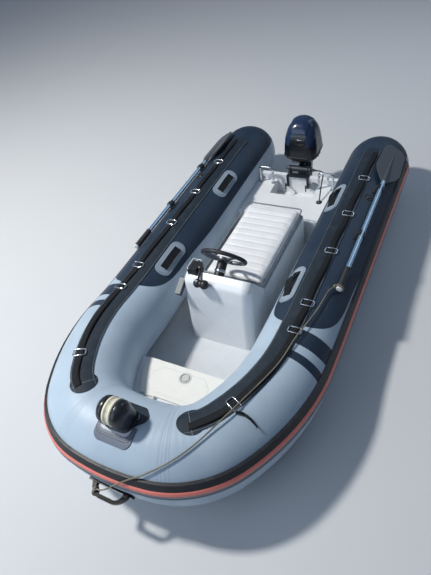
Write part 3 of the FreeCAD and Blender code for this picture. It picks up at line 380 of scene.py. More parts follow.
def webbingNylon():
    w = webbing
    m = Shader("black_webbing", specular=0.25)
    s, angle = alongTube(m)
    ribs = m.wave(s, w["ribPitch"])
    herring = m.wave(s + abs(m.wave(angle, 2.2)) * 0.003, w["herringPitch"])
    fuzz = m.noise(900.0, 3.0)
    tone = m.mix(ribs * 0.3 + herring * 0.2 + 0.4, w["dark"], w["light"])
    tone = m.mix(m.patches(12.0, 5.0, 0.5, 0.8) * 0.3, tone, w["dust"])
    return m.finish(tone, 0.6 + fuzz * 0.15, ribs * 0.00025 + herring * 0.00015 + fuzz * 0.00008)


dress(strakeRubber(), "rub_strake")
dress(strakeInsert(), "rub_strake_insert")
dress(bandFabric(), "grab_band_port", "grab_band_starboard")
webbingBlack = webbingNylon()
dress(webbingBlack, "handle_straps", "grab_webbing_port", "grab_webbing_starboard")


# distances to an outline, for the borders of the pads
def octagon(m, u, v, l, w, c):
    u, v = abs(u), abs(v)
    return m.maths("MAXIMUM", m.maths("MAXIMUM", u - l, v - w), (u + v - (l + w - c)) * 0.7071)


def roundedBox(m, u, v, l, w, r):
    u, v = abs(u) - (l - r), abs(v) - (w - r)
    inside = m.maths("MINIMUM", m.maths("MAXIMUM", u, v), 0.0)
    return m.length(m.maths("MAXIMUM", u, 0.0), m.maths("MAXIMUM", v, 0.0), 0.0) + inside - r


nose = place(trackEnd, 0)
handlePad = {
    "colour": (0.300, 0.370, 0.440), "worn": (0.230, 0.285, 0.345), "border": (0.095, 0.120, 0.150),
    "lines": (0.007, 0.016), "middle": 0.208, "aftBy": 0.875, "angle": -35.0, "radius": 0.240,
    "box": (0.150, 0.056, 0.050),
}
chafe = {
    "colour": (0.120, 0.142, 0.185), "worn": (0.092, 0.110, 0.148), "border": (0.038, 0.046, 0.062),
    "lines": (0.004, 0.0135), "middle": nose.x + 0.018, "box": (0.100, 0.106, 0.038),
}
bowPatch = {
    "colour": (0.016, 0.027, 0.042), "worn": (0.028, 0.042, 0.060), "border": (0.004, 0.006, 0.009),
    "lines": (0.003, 0.012), "middle": nose.x - 0.047, "box": (0.061, 0.124, 0.044),
}


def handleOutline(m):
    h = handlePad
    s, angle = alongTube(m)
    centre = h["middle"] - s.below(-0.23, 0.01) * h["aftBy"]
    return roundedBox(m, s - centre, (angle - h["angle"]) * (radians(1) * h["radius"]), *h["box"])


def chafeOutline(m):
    return roundedBox(m, m.x - chafe["middle"], m.y, *chafe["box"])


def bowPatchOutline(m):
    return octagon(m, m.x - bowPatch["middle"], m.y, *bowPatch["box"])


# welded patches with a doubled border
def patchFabric(name, look, outline, proud=0.0004, rough=0.45):
    m = Shader(name)
    edge = outline(m)
    ring = 0.0
    for inset in look["lines"]:
        ring = ring + abs(edge + inset).below(0.0012, 0.0008)
    tone = m.patches(6.0, 4.0, 0.35, 0.70)
    dust = m.patches(30.0, 6.0, 0.50, 0.80, rough=0.7)
    base = m.mix(tone * 0.6, look["colour"], look["worn"])
    base = m.mix(m.maths("MINIMUM", ring, 1.0) * 0.75, base, look["border"])
    weave = m.wave(m.x, 0.0018) * m.wave(m.y, 0.0018) * 0.00003
    rim = edge.above(-look["lines"][0]) * proud
    return m.finish(base, rough + dust * 0.15, weave - ring * 0.0006 - rim)


dress(patchFabric("handle_pad_fabric", handlePad, handleOutline), "handle_pads")
dress(patchFabric("chafe_pad_fabric", chafe, chafeOutline, proud=0.0008), "chafe_pad")
dress(patchFabric("bow_patch_fabric", bowPatch, bowPatchOutline), "bow_patch")
print("patches and strake")

# moulded, painted and metal finishes
finishes = {
    "gelcoat_white": dict(
        colour=(0.80, 0.82, 0.845), second=(0.70, 0.725, 0.76), rough=0.24, coat=0.5,
        scale=3.0, grain=90.0, bump=0.00006,
        on=("hull_shell", "console_shell", "seat_box", "transom_board", "bow_locker")),
    "gelcoat_deck": dict(
        colour=(0.77, 0.785, 0.80), second=(0.62, 0.63, 0.63), rough=0.45, coat=0.1,
        scale=5.0, grain=60.0, bump=0.0001, on=("aft_deck",)),
    "housing_plastic": dict(
        colour=(0.008, 0.010, 0.014), second=(0.030, 0.034, 0.042), rough=0.30, coat=0.15,
        scale=20.0, grain=260.0, bump=0.00005, on=("bow_roller_housing",)),
    "handle_plastic": dict(
        colour=(0.004, 0.004, 0.006), second=(0.012, 0.013, 0.016), rough=0.16, specular=0.10,
        scale=24.0, grain=200.0, bump=0.00005, on=("bow_handle",)),
    "satin_black": dict(
        colour=(0.012, 0.013, 0.015), second=(0.034, 0.036, 0.040), rough=0.42,
        scale=25.0, grain=500.0, bump=0.00006,
        on=("helm_column", "throttle_box", "throttle_lever", "oar_clips", "cable_gland", "cowl_pan")),
    "cable_rubber": dict(
        colour=(0.010, 0.010, 0.012), second=(0.035, 0.036, 0.038), rough=0.50,
        scale=30.0, grain=400.0, bump=0.00006, on=("steering_cable",)),
    "motor_paint": dict(
        colour=(0.012, 0.016, 0.024), second=(0.030, 0.036, 0.046), rough=0.30, coat=0.4,
        scale=12.0, grain=180.0, bump=0.00008, on=("clamp_bracket", "swivel_bracket", "motor_leg", "gearcase")),
    "propeller_paint": dict(
        colour=(0.020, 0.022, 0.026), second=(0.16, 0.16, 0.17), rough=0.36, coat=0.2,
        scale=22.0, grain=240.0, bump=0.0001, on=("propeller",)),
    "cast_engine": dict(
        colour=(0.10, 0.105, 0.11), second=(0.05, 0.05, 0.055), rough=0.6,
        scale=14.0, grain=300.0, bump=0.0003, metallic=0.6, on=("engine_block",)),
    "stainless": dict(
        colour=(0.62, 0.64, 0.66), second=(0.48, 0.50, 0.52), rough=0.20,
        scale=18.0, grain=350.0, bump=0.00003, metallic=1.0, on=("stern_rails",)),
    "hinge_cream": dict(
        colour=(0.70, 0.70, 0.655), second=(0.52, 0.51, 0.46), rough=0.40,
        scale=18.0, grain=350.0, bump=0.00004, on=("lid_hinges",)),
    "grey_plastic": dict(
        colour=(0.185, 0.215, 0.250), second=(0.120, 0.140, 0.165), rough=0.40,
        scale=20.0, grain=420.0, bump=0.00008, on=("transom_disc",)),
    "bar_plastic": dict(
        colour=(0.075, 0.088, 0.105), second=(0.035, 0.040, 0.050), rough=0.45,
        scale=20.0, grain=420.0, bump=0.00008, on=("console_bar",)),
}


def moulded(name, colour, second, rough, scale, grain, bump, on, coat=0.0, metallic=0.0, specular=0.5):
    m = Shader(name, metallic, coat, specular)
    tone = m.patches(scale, 5.0, 0.38, 0.78, rough=0.6)
    wear = m.patches(scale * 7.0, 6.0, 0.60, 0.82, rough=0.75)
    hair = m.step(m.noise(scale * 2.0, 4.0, at=m.point(m.x * 0.6, m.y * 5.0, m.z * 5.0)), 0.60, 0.72)
    mixed = m.mix(tone * 0.55 + wear * 0.35, colour, second)
    material = m.finish(mixed, rough + wear * 0.12 + hair * 0.06, m.noise(grain, 3.0) * bump + hair * bump * 0.6)
    dress(material, *on)
    return material


made = {name: moulded(name, **settings) for name, settings in finishes.items()}


cowl = {
    "middle": -1.275, "halfLength": 0.155, "halfWidth": 0.133, "frontCorner": 0.070, "rearCorner": 0.130,
    "foot": 0.4205, "blackBelow": 0.522, "panelTop": 0.600, "panelHalf": 0.064,
    "recess": (0.010, 0.551), "recessHalf": (0.040, 0.021),
    "navy": (0.007, 0.019, 0.052), "navyLight": (0.013, 0.031, 0.074), "flake": (0.03, 0.06, 0.12),
    "black": (0.004, 0.005, 0.008), "line": (0.001, 0.001, 0.002),
}


def navyCowl():
    c = cowl
    m = Shader("cowl_navy", coat=0.25, specular=0.4)
    tone = m.patches(3.0, 3.0, 0.3, 0.7)
    dust = m.patches(30.0, 6.0, 0.55, 0.85, rough=0.75)
    # black below, rising in a panel round the latch recess on the front
    front = m.x.above(c["middle"] + 0.06, 0.02) * abs(m.y).below(c["panelHalf"], 0.012)
    edge = c["blackBelow"] + front * (c["panelTop"] - c["blackBelow"]) + (m.x - c["middle"]) * -0.05
    black = (m.z - edge).below(0.0, 0.0015)
    line = abs(m.z - edge).below(0.0022, 0.0010)
    lip = abs(m.z - c["foot"] - 0.016).below(0.0016, 0.0008)
    colour = m.mix(tone, c["navy"], c["navyLight"])
    colour = m.mix(m.cells(1400.0) * 0.15, colour, c["flake"])
    colour = m.mix(black, colour, c["black"])
    colour = m.mix(m.maths("MINIMUM", line + lip, 1.0) * 0.7, colour, c["line"])
    height = m.noise(7.0, 1.0) * 0.0005 - line * 0.0008 - lip * 0.0010
    return m.finish(colour, 0.20 + dust * 0.10 + black * 0.08, height)


navy = navyCowl()
dress(navy, "upper_cowl")

roller = {"cream": (0.78, 0.745, 0.600), "grime": (0.58, 0.54, 0.40), "groove": (0.36, 0.33, 0.225),
          "scuff": (0.45, 0.42, 0.33), "grooveHalf": 0.010, "ribTurn": 7.5, "rib": 0.0006}


def creamRoller():
    k, centre = roller, middle("bow_roller")
    m = Shader("roller_cream")
    dx, dz = m.x - centre.x, m.z - centre.z
    r, turn = m.length(dx, 0.0, dz), m.angle(dx, dz)
    groove = abs(m.y).below(k["grooveHalf"], 0.004)
    grime = m.patches(40.0, 6.0, 0.40, 0.75, rough=0.7)
    scuff = m.patches(60.0, 4.0, 0.5, 0.75, at=m.point(turn * 0.01, m.y * 8.0, r))
    colour = m.mix(grime * 0.35, k["cream"], k["grime"])
    colour = m.mix(groove * (0.45 + grime * 0.4), colour, k["groove"])
    colour = m.mix(scuff * 0.2, colour, k["scuff"])
    height = m.wave(turn, k["ribTurn"]) * groove * k["rib"] + m.noise(300.0, 3.0) * 0.0001
    return m.finish(colour, 0.45 + grime * 0.2, height)


lid = {"cream": (0.80, 0.795, 0.745), "dust": (0.70, 0.69, 0.63), "edge": (0.50, 0.49, 0.44),
       "forward": 0.006, "panel": (0.086, 0.185, 0.05), "latchRing": 0.0395, "stipple": 0.0004}


def lidCream():
    k, centre, latch = lid, middle("bow_locker_lid"), middle("lid_latch")
    m = Shader("locker_cream", coat=0.2)
    inner = octagon(m, m.x - centre.x - k["forward"], m.y, *k["panel"])
    edge = abs(inner).below(0.0016, 0.0010)
    ring = abs(m.length(m.x - latch.x, m.y - latch.y, 0.0) - k["latchRing"]).below(0.0018, 0.001)
    stipple = m.cells(260.0) * inner.below(-0.004, 0.002)
    dust = m.patches(11.0, 6.0, 0.45, 0.80, rough=0.7)
    colour = m.mix(dust * 0.5, k["cream"], k["dust"])
    colour = m.mix(edge * 0.35 + ring * 0.3, colour, k["edge"])
    return m.finish(colour, 0.42 + dust * 0.15, stipple * k["stipple"] - edge * 0.0008 - ring * 0.0006)


pull = {"steel": (0.76, 0.76, 0.72), "shade": (0.34, 0.35, 0.36), "bowl": 0.031, "ring": 0.026, "ringHalf": 0.0028}


def latchSteel():
    k, centre = pull, middle("lid_latch")
    m = Shader("latch_steel", metallic=0.15)
    r = m.length(m.x - centre.x, m.y - centre.y, 0.0)
    bowl = r.below(k["bowl"], 0.001)
    ring = abs(r - k["ring"]).below(k["ringHalf"], 0.0008)
    brushed = m.noise(60.0, 3.0, at=m.point(m.x * 12.0, m.y, m.z))
    # painted shade: the recessed bowl is darkened; the raised ring is darkened as well
    colour = m.mix(bowl * 0.30 + ring * 0.55, k["steel"], k["shade"])
    return m.finish(colour, 0.2 + brushed * 0.15, ring * 0.0015 - bowl * 0.0022 + brushed * 0.00005)


deck = {"white": (0.62, 0.65, 0.68), "worn": (0.48, 0.49, 0.50), "sand": (0.38, 0.35, 0.29),
        "dotScale": 190.0, "dot": 0.0006}


def deckFloor():
    k = deck
    m = Shader("floor_nonslip")
    worn = m.patches(4.0, 6.0, 0.40, 0.75, rough=0.65)
    sand = m.patches(120.0, 5.0, 0.60, 0.80, rough=0.8)
    colour = m.mix(worn * 0.5, k["white"], k["worn"])
    colour = m.mix(sand * 0.35, colour, k["sand"])
    return m.finish(colour, 0.5 + worn * 0.2, m.cells(k["dotScale"]) * k["dot"])


# the helm's axis, from the wheel's joint
hub, wheelAxis = jointNamed("wheel_turn")
wheel = {
    "grip": (0.018, 0.020, 0.024), "gripWorn": (0.060, 0.064, 0.070), "stitch": (0.10, 0.11, 0.12),
    "spoke": (0.20, 0.21, 0.23), "spokeDark": (0.14, 0.15, 0.17), "rimFrom": 0.1335, "hubTo": 0.033, "stitchAt": 0.1360,
}


def wheelFinish():
    k = wheel
    m = Shader("wheel_grip")
    # distance from the steering axis, and the turn round it
    dx, dz = m.x - hub.x, m.z - hub.z
    along = dx * wheelAxis.x + dz * wheelAxis.z
    u = dx * wheelAxis.z - dz * wheelAxis.x
    r, turn = m.length(u, m.y, 0.0), m.angle(u, m.y)
    rim = r.above(k["rimFrom"], 0.0004)
    black = m.maths("MAXIMUM", rim, r.below(k["hubTo"], 0.0004))
    stitch = abs(r - k["stitchAt"]).below(0.0009, 0.0003) * m.wave(turn, 1.6).above(0.0, 0.2)
    worn = m.patches(20.0, 6.0, 0.50, 0.80, rough=0.7)
    brushed = m.noise(40.0, 3.0, at=m.point(turn * 0.02, r * 30.0, along * 4.0))
    colour = m.mix(worn * 0.4, k["grip"], k["gripWorn"])
    colour = m.mix(stitch, colour, k["stitch"])
    colour = m.mix(black, m.mix(brushed * 0.4, k["spoke"], k["spokeDark"]), colour)
    height = m.cells(520.0) * black * 0.00025 + m.wave(turn, 30.0) * rim * 0.0006
    return m.finish(colour, 0.46 + black * 0.04 + worn * 0.1, height, 1.0 - black)


oars = {
    "shaft": (0.40, 0.56, 0.72), "shaftDark": (0.30, 0.44, 0.60), "scratch": (0.66, 0.70, 0.74),
    "grip": (0.016, 0.018, 0.021), "gripDust": (0.060, 0.064, 0.070), "end": (0.66, 0.68, 0.70),
    "collar": (0.008, 0.008, 0.009), "blade": (0.050, 0.058, 0.070), "bladeWorn": (0.100, 0.112, 0.130),
    "collarTo": 0.032, "endFrom": 0.190, "axis": (0.7073, 0.4614), "knurlPitch": 0.006, "knurl": 0.0005,
}


def shaftAnodised():
    m = Shader("oar_shaft_anodised", metallic=0.75)
    scratch = m.patches(40.0, 5.0, 0.55, 0.72, at=m.point(m.x * 0.3, m.y * 4.0, m.z * 4.0))
    colour = m.mix(m.patches(7.0, 4.0, 0.35, 0.7) * 0.5, oars["shaft"], oars["shaftDark"])
    colour = m.mix(scratch * 0.35, colour, oars["scratch"])
    return m.finish(colour, 0.26 + scratch * 0.15, scratch * 0.00006)


def gripRubber():
    k = oars
    m = Shader("oar_grip_rubber")
    end = m.x.above(k["endFrom"], 0.0006)
    turn = m.angle(abs(m.y) - k["axis"][0], m.z - k["axis"][1]) * 0.0001
    knurl = m.wave(m.x + turn, k["knurlPitch"]) * m.wave(m.x - turn, k["knurlPitch"])
    dust = m.patches(30.0, 6.0, 0.45, 0.80, rough=0.7)
    colour = m.mix(knurl * 0.3 + dust * 0.3, k["grip"], k["gripDust"])
    colour = m.mix(end, colour, k["end"])
    colour = m.mix(m.x.below(k["collarTo"], 0.0005), colour, k["collar"])
    return m.finish(colour, 0.55 + dust * 0.1, knurl * (1.0 - end) * k["knurl"])


def bladePlastic():
    m = Shader("oar_blade_plastic")
    flow = m.noise(30.0, 4.0, at=m.point(m.x, m.y * 4.0, m.z * 4.0))
    dust = m.patches(20.0, 6.0, 0.45, 0.80, rough=0.75)
    colour = m.mix(flow * 0.5 + dust * 0.3, oars["blade"], oars["bladeWorn"])
    return m.finish(colour, 0.48 + dust * 0.15, flow * 0.0004 + m.noise(300.0, 2.0) * 0.0001)


polish = {"bright": (0.78, 0.80, 0.83), "haze": (0.52, 0.54, 0.57)}


def chromeWire():
    m = Shader("chrome", metallic=1.0)
    haze = m.patches(70.0, 5.0, 0.45, 0.8)
    colour = m.mix(haze * 0.4, polish["bright"], polish["haze"])
    return m.finish(colour, 0.09 + haze * 0.16, m.noise(500.0, 2.0) * 0.00002)


chrome = chromeWire()
dress(creamRoller(), "bow_roller")
dress(lidCream(), "bow_locker_lid")
dress(latchSteel(), "lid_latch")
dress(deckFloor(), "floor_liner")
dress(wheelFinish(), "steering_wheel")
dress(shaftAnodised(), "oar_shafts")
dress(gripRubber(), "oar_grips")
dress(bladePlastic(), "oar_blades")
dress(chrome, "grab_rings_port", "grab_rings_starboard")
print("finishes on all the nodes")

# mesh helpers
def addObject(name, mesh, material, body="boat"):
    piece = bpy.data.objects.new(name, mesh)
    bpy.context.scene.collection.objects.link(piece)
    mesh.materials.append(material)
    for face in mesh.polygons:
        face.use_smooth = True
    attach(piece, body)
    return piece


def meshOf(bm, name):
    bmesh.ops.recalc_face_normals(bm, faces=bm.faces)
    mesh = bpy.data.meshes.new(name)
    bm.to_mesh(mesh)
    bm.free()
    return mesh


def sweepRings(bm, rings, closed=False):
    made = [[bm.verts.new(p) for p in ring] for ring in rings]
    for a, b in zip(made, made[1:] + made[:1] if closed else made[1:]):
        for i in range(len(a)):
            j = (i + 1) % len(a)
            bm.faces.new((a[i], a[j], b[j], b[i]))
    if not closed:
        bm.faces.new(made[0])
        bm.faces.new(list(reversed(made[-1])))


def frames(points, closed=False):
    n = len(points)
    tangents = []
    for k in range(n):
        a = points[(k - 1) % n] if closed or k else points[0]
        b = points[(k + 1) % n] if closed or k < n - 1 else points[-1]
        tangents.append((b - a).normalized())
    side = tangents[0].orthogonal().normalized()
    out = []
    for k, t in enumerate(tangents):
        if k:
            side = tangents[k - 1].rotation_difference(t) @ side
        side = (side - t * side.dot(t)).normalized()
        out.append((points[k], t, side, t.cross(side)))
    return out


def circle(count):
    return [(cos(2 * pi * k / count), sin(2 * pi * k / count)) for k in range(count)]


def squareTo(axis):
    axis = axis.normalized()
    u = axis.orthogonal().normalized()
    return axis, u, axis.cross(u)


def tubeAlong(bm, points, radius, sides=10, closed=False):
    rings = []
    for k, (p, t, u, v) in enumerate(frames(points, closed)):
        r = radius(k / (len(points) - 1)) if callable(radius) else radius
        rings.append([p + (u * x + v * y) * r for x, y in circle(sides)])
    sweepRings(bm, rings, closed)


def lathe(bm, profile, centre, axis, sides=28):
    axis, u, v = squareTo(axis)
    sweepRings(bm, [[centre + axis * h + (u * x + v * y) * r for x, y in circle(sides)] for h, r in profile])


def roundedLoop(cx, cy, halfX, halfY, corner, steps=7, rear=None):
    out = []
    for sx, sy, start in ((1, 1, 0), (-1, 1, 90), (-1, -1, 180), (1, -1, 270)):
        r = corner if sx > 0 or rear is None else rear
        for k in range(steps):
            a = radians(start + 90 * k / (steps - 1))
            out.append((cx + sx * (halfX - r) + r * cos(a), cy + sy * (halfY - r) + r * sin(a)))
    return out


# the same loop with its long sides cut into short steps
def denseLoop(loop, step):
    out = []
    for (x0, y0), (x1, y1) in zip(loop, loop[1:] + loop[:1]):
        count = max(1, int(hypot(x1 - x0, y1 - y0) / step))
        out += [(x0 + (x1 - x0) * j / count, y0 + (y1 - y0) * j / count) for j in range(count)]
    return out


def pathLength(line):
    return sum((b - a).length for a, b in zip(line, line[1:]))


def onNode(name, at, way):
    return nodes[name].ray_cast(Vector(at), Vector(way))[1]


def onTube(x, y, radius):
    s, angle = trackEnd - abs(y), 0.0
    for _ in range(14):
        p = place(s, angle, radius)
        angle += degrees((x - p.x) / radius)
        s += p.y - abs(y)
    side = 1 if y >= 0 else -1
    p = place(s, angle, radius, side)
    return p, (place(s, angle, radius + 0.01, side) - p).normalized()


# grab rings and webbing
grab = {
    "stations": (1.161, 0.594, 0.366, -0.084, -0.458, -0.868), "wire": 0.0035, "angle": 3.0, "lie": 0.2453,
    "halfWidth": 0.036, "halfLength": 0.022, "corner": 0.010,
    "webAft": -1.208, "webFore": 1.395, "webHalf": 0.0200, "webAngle": 2.5, "webLow": 0.2390, "webThick": 0.0026,
    "slack": 0.0075, "wander": 0.9, "tilt": 0.0012, "edge": 0.0012, "fullSpan": 0.35, "cuts": 520,
}


def ringPath(s0, side):
    g = grab
    loop = roundedLoop(0, 0, g["halfLength"], g["halfWidth"], g["corner"])
    return [place(s0 + u, g["angle"] + degrees(v / g["lie"]), g["lie"], side) for u, v in denseLoop(loop, 0.006)]


# how far the webbing stands off between two rings, and how far it strays to the side
def webHeight(s):
    stops = sorted((grab["webAft"], grab["webFore"]) + grab["stations"])
    for a, b in zip(stops, stops[1:]):
        if a <= s <= b:
            x = (s - a) / (b - a)
            k = min(1.0, (b - a) / grab["fullSpan"])
            return grab["slack"] * k * sin(pi * x) ** 0.7, sin(2 * pi * x) * k
    return 0.0, 0.0


def webStrap(side):
    g = grab
    rings = []
    for k in range(g["cuts"] + 1):
        s = g["webAft"] + (g["webFore"] - g["webAft"]) * k / g["cuts"]
        rise, sway = webHeight(s)
        mid = g["webAngle"] + sway * g["wander"] * (1 if side > 0 else -0.8)
        half = degrees((g["webHalf"] - rise * 0.25) / g["webLow"])
        edge = degrees(g["edge"] / g["webLow"])
        profile = []
        for base, inset, way in ((0.0, 0.0, 1), (g["webThick"], edge, -1)):
            for t in (-1.0, -0.5, 0.0, 0.5, 1.0)[::way]:
                wide = half - inset if abs(t) == 1.0 else half
                lift = sway * g["tilt"] * t + rise * 0.25 * (1 - t * t)
                profile.append((mid + wide * t, g["webLow"] + rise + base + lift))
        rings.append([place(s, a, r, side) for a, r in profile])
    bm = bmesh.new()
    sweepRings(bm, rings)
    return meshOf(bm, "webbing")


for side, word in ((1, "port"), (-1, "starboard")):
    bm = bmesh.new()
    for s0 in grab["stations"]:
        tubeAlong(bm, ringPath(s0, side), grab["wire"], 10, closed=True)
    piece = addObject("rings_" + word, meshOf(bm, "rings"), chrome)
    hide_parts("grab_rings_" + word)
    strap = addObject("webbing_" + word, webStrap(side), webbingBlack)
    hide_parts("grab_webbing_" + word)
print("rings and webbing")

# painter
painterPoints = (
    (1.671, -0.060, 0.311), (1.673, -0.028, 0.329), (1.666, 0.008, 0.356), (1.653, 0.046, 0.391), (1.640, 0.080, 0.420),
    (1.618, 0.123, 0.449), (1.582, 0.192, 0.477), (1.539, 0.257, 0.506), (1.486, 0.316, 0.528), (1.422, 0.367, 0.544),
    (1.350, 0.407, 0.553), (1.274, 0.440, 0.558), (1.198, 0.471, 0.560), (1.119, 0.498, 0.555), (1.041, 0.522, 0.545),
    (0.962, 0.546, 0.536), (0.883, 0.569, 0.527), (0.802, 0.587, 0.519), (0.720, 0.595, 0.512), (0.637, 0.602, 0.508),
    (0.556, 0.616, 0.499), (0.475, 0.630, 0.486), (0.394, 0.642, 0.477), (0.311, 0.650, 0.473), (0.229, 0.655, 0.471),
    (0.197, 0.676, 0.472))
# the rope is cream, but its yarn colours are darkened throughout as painted shade
rope = {
    "diameter": 0.008, "strand": 0.00225, "offset": 0.00185, "pitch": 0.026, "step": 0.0022,
    "yarn": (0.27, 0.24, 0.175), "yarnDark": (0.08, 0.07, 0.055), "dirt": (0.085, 0.080, 0.070),
}


def ropeLine(points, name):
    curve = bpy.data.curves.new(name, "CURVE")
    curve.dimensions = "3D"
    curve.resolution_u = 24
    spline = curve.splines.new("NURBS")
    spline.points.add(len(points) - 1)
    for k, p in enumerate(points):
        spline.points[k].co = (*p, 1.0)
    spline.order_u = 3
    spline.use_endpoint_u = True
    holder = bpy.data.objects.new(name, curve)
    bpy.context.scene.collection.objects.link(holder)
    bpy.context.view_layer.update()
    mesh = bpy.data.meshes.new_from_object(holder.evaluated_get(bpy.context.evaluated_depsgraph_get()))
    line = [v.co.copy() for v in mesh.vertices]
    bpy.data.objects.remove(holder)
    bpy.data.meshes.remove(mesh)
    return line


def evenly(line, step):
    out, left = [line[0]], step
    for a, b in zip(line, line[1:]):
        gap = (b - a).length
        at = left
        while at <= gap:
            out.append(a.lerp(b, at / gap))
            at += step
        left = at - gap
    if (out[-1] - line[-1]).length > step * 0.3:
        out.append(line[-1])
    return out


def strands(bm, line, sides=7, count=3):
    for j in range(count):
        path, travelled = [], 0.0
        for k, (p, t, u, v) in enumerate(frames(line)):
            if k:
                travelled += (line[k] - line[k - 1]).length
            a = 2 * pi * (j / count + travelled / rope["pitch"])
            path.append(p + (u * cos(a) + v * sin(a)) * rope["offset"])
        tubeAlong(bm, path, rope["strand"], sides)


# painted shade: the cream yarn is coloured dark tan and brown all over
def shadedRopeFibre():
    m = Shader("painter_rope")
    yarn = m.noise(500.0, 3.0, at=m.point(m.x, m.y * 2.5, m.z))
    colour = m.mix(yarn * 0.5, rope["yarn"], rope["yarnDark"])
    colour = m.mix(m.patches(9.0, 5.0, 0.38, 0.72) * 0.65, colour, rope["dirt"])
    return m.finish(colour, 0.8, m.noise(1500.0, 4.0, rough=0.7) * 0.0002 + yarn * 0.0004)


cream = shadedRopeFibre()
bm = bmesh.new()
line = evenly(ropeLine(painterPoints, "painterLine"), rope["step"])
strands(bm, line)
painter = addObject("painter_rope", meshOf(bm, "painter"), cream)
painterLength = pathLength(line)
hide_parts("painter")


# rope turned round a bar
def helixTurns(bm, centre, axis, radius, turns, begin, pitch=0.0082):
    axis, u, v = squareTo(axis)
    steps = int(turns * 40)
    path = []
    for k in range(steps + 1):
        a = begin + 2 * pi * turns * k / steps
        path.append(centre + axis * (pitch * turns * k / steps) + (u * cos(a) + v * sin(a)) * radius)
    strands(bm, evenly(path, 0.003), sides=6)


# an overhand knot, from the curve of a trefoil
def overhand(bm, centre, along, size):
    along, u, v = squareTo(along)
    path = []
    for k in range(120):
        a = 2 * pi * k / 120
        x, y, z = sin(a) + 2 * sin(2 * a), cos(a) - 2 * cos(2 * a), -sin(3 * a)
        path.append(centre + (u * x + v * y) * (size * 0.30) + along * (z * size * 0.55))
    tubeAlong(bm, path, rope["diameter"] * 0.46, 8, closed=True)


start, finish = Vector(painterPoints[0]), Vector(painterPoints[-1])
inboard = (finish - Vector(painterPoints[-2])).normalized()
outboard = (start - Vector(painterPoints[1])).normalized()
knots = {"size": 0.0093, "lie": 0.0093, "gripRadius": 0.0232, "gripCentre": (0.178, *oars["axis"])}
handle = {"y": -0.082, "angle": 104.0, "out": 0.278, "wrap": 0.0205}
bm = bmesh.new()
overhand(bm, finish + inboard * knots["lie"], inboard, knots["size"])
overhand(bm, start + outboard * knots["lie"], outboard, knots["size"])
helixTurns(bm, Vector(knots["gripCentre"]), Vector((1, 0, 0)), knots["gripRadius"], 2.0, 1.0)
barAt = place(trackEnd, handle["angle"], handle["out"])
helixTurns(bm, Vector((barAt.x, handle["y"], barAt.z)), Vector((0, 1, 0)), handle["wrap"], 2.2, 2.0)
knotPiece = addObject("painter_hitches", meshOf(bm, "hitches"), cream)
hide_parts("painter_knots")
print("painter", round(painterLength, 3))

steering = {
    "points": (
        (-0.868, 0.246, 0.228), (-0.890, 0.243, 0.246), (-0.922, 0.239, 0.269), (-0.958, 0.233, 0.290),
        (-0.996, 0.227, 0.307), (-1.036, 0.221, 0.317), (-1.076, 0.214, 0.319), (-1.111, 0.202, 0.315),
        (-1.136, 0.180, 0.310), (-1.146, 0.150, 0.307), (-1.146, 0.1185, 0.306)),
    "radius": 0.005, "ferrule": ((0.0005, 0.0062), (0.010, 0.0068), (0.018, 0.0066), (0.022, 0.0054)),
}


def steeringHose():
    line = evenly(ropeLine(steering["points"], "steeringLine"), 0.004)
    bm = bmesh.new()
    tubeAlong(bm, line, lambda k: steering["radius"] + 0.0002 * sin(k * 620), 12)
    # the ferrule where it meets the tilt tube
    end, way = line[-1], (line[-2] - line[-1]).normalized()
    lathe(bm, steering["ferrule"], end, way, 16)
    piece = addObject("steering_hose", meshOf(bm, "steeringHose"), made["cable_rubber"])
    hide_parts("steering_cable")
    length = pathLength(line)
    print("steering cable", round(length, 3))


steeringHose()

# the webbing's frayed end, beside the foremost port ring
tail = {
    "points": (
        (1.160, 0.499, 0.5405), (1.156, 0.515, 0.5375), (1.152, 0.531, 0.532), (1.154, 0.549, 0.5255),
        (1.158, 0.567, 0.518), (1.165, 0.586, 0.507), (1.173, 0.604, 0.4945)),
    "under": (1.10, 0.48, 0.29), "half": 0.0085, "thick": 0.0022, "ripple": 0.0015, "threads": 16,
}


def frayedTail():
    bm = bmesh.new()
    line = evenly(ropeLine(tail["points"], "tailLine"), 0.003)
    rings, n = [], len(line)
    for k, (p, t, u, v) in enumerate(frames(line)):
        up = (p - Vector(tail["under"])).normalized()
        across = t.cross(up).normalized()
        up = across.cross(t)
        w = tail["half"] * (1.0 - 0.55 * (k / n) ** 1.5)
        rings.append([p + across * (w * x) + up * (tail["thick"] * z + tail["ripple"] * sin(k * 0.35))
                      for x, z in ((-1, 0), (0, -0.2), (1, 0), (0.9, 1), (0, 1.25), (-0.9, 1))])
    sweepRings(bm, rings)
    rng = random.Random(4)
    way = (line[-1] - line[-4]).normalized()
    for _ in range(tail["threads"]):
        stray = Vector((rng.uniform(-0.5, 0.5), rng.uniform(-0.4, 0.4), rng.uniform(-0.15, 0.25)))
        aim = (way + stray).normalized()
        root = line[-3] + Vector((rng.uniform(-1, 1), rng.uniform(-0.4, 0.4), rng.uniform(0, 0.5))) * 0.003
        tubeAlong(bm, [root, root + aim * 0.007, root + aim * 0.013 + Vector((0, 0, -0.001))], 0.0006, 5)
    return meshOf(bm, "tail")


addObject("webbing_tail", frayedTail(), webbingBlack)

# seat cushion
seat = {
    "vinyl": (0.79, 0.795, 0.81), "soil": (0.66, 0.655, 0.64), "seam": (0.42, 0.43, 0.45),
    "inset": 0.010, "corner": 0.020, "voxel": 0.009, "pressure": 4.0, "frames": 18, "cap": 0.012,
    "pitch": 0.062, "groove": 0.006, "welt": 0.0052, "weltCorner": 0.028, "welts": ((-0.010, 0.0045), (0.008, 0.004)),
}


def roundedBlock(low, high, radius, steps=4):
    bm = bmesh.new()
    bmesh.ops.create_cube(bm, size=1.0)
    for v in bm.verts:
        v.co = Vector([(low[k] + high[k]) / 2 + v.co[k] * (high[k] - low[k]) for k in range(3)])
    bmesh.ops.bevel(bm, geom=bm.edges[:], offset=radius, segments=steps, affect="EDGES", profile=0.5)
    return bm


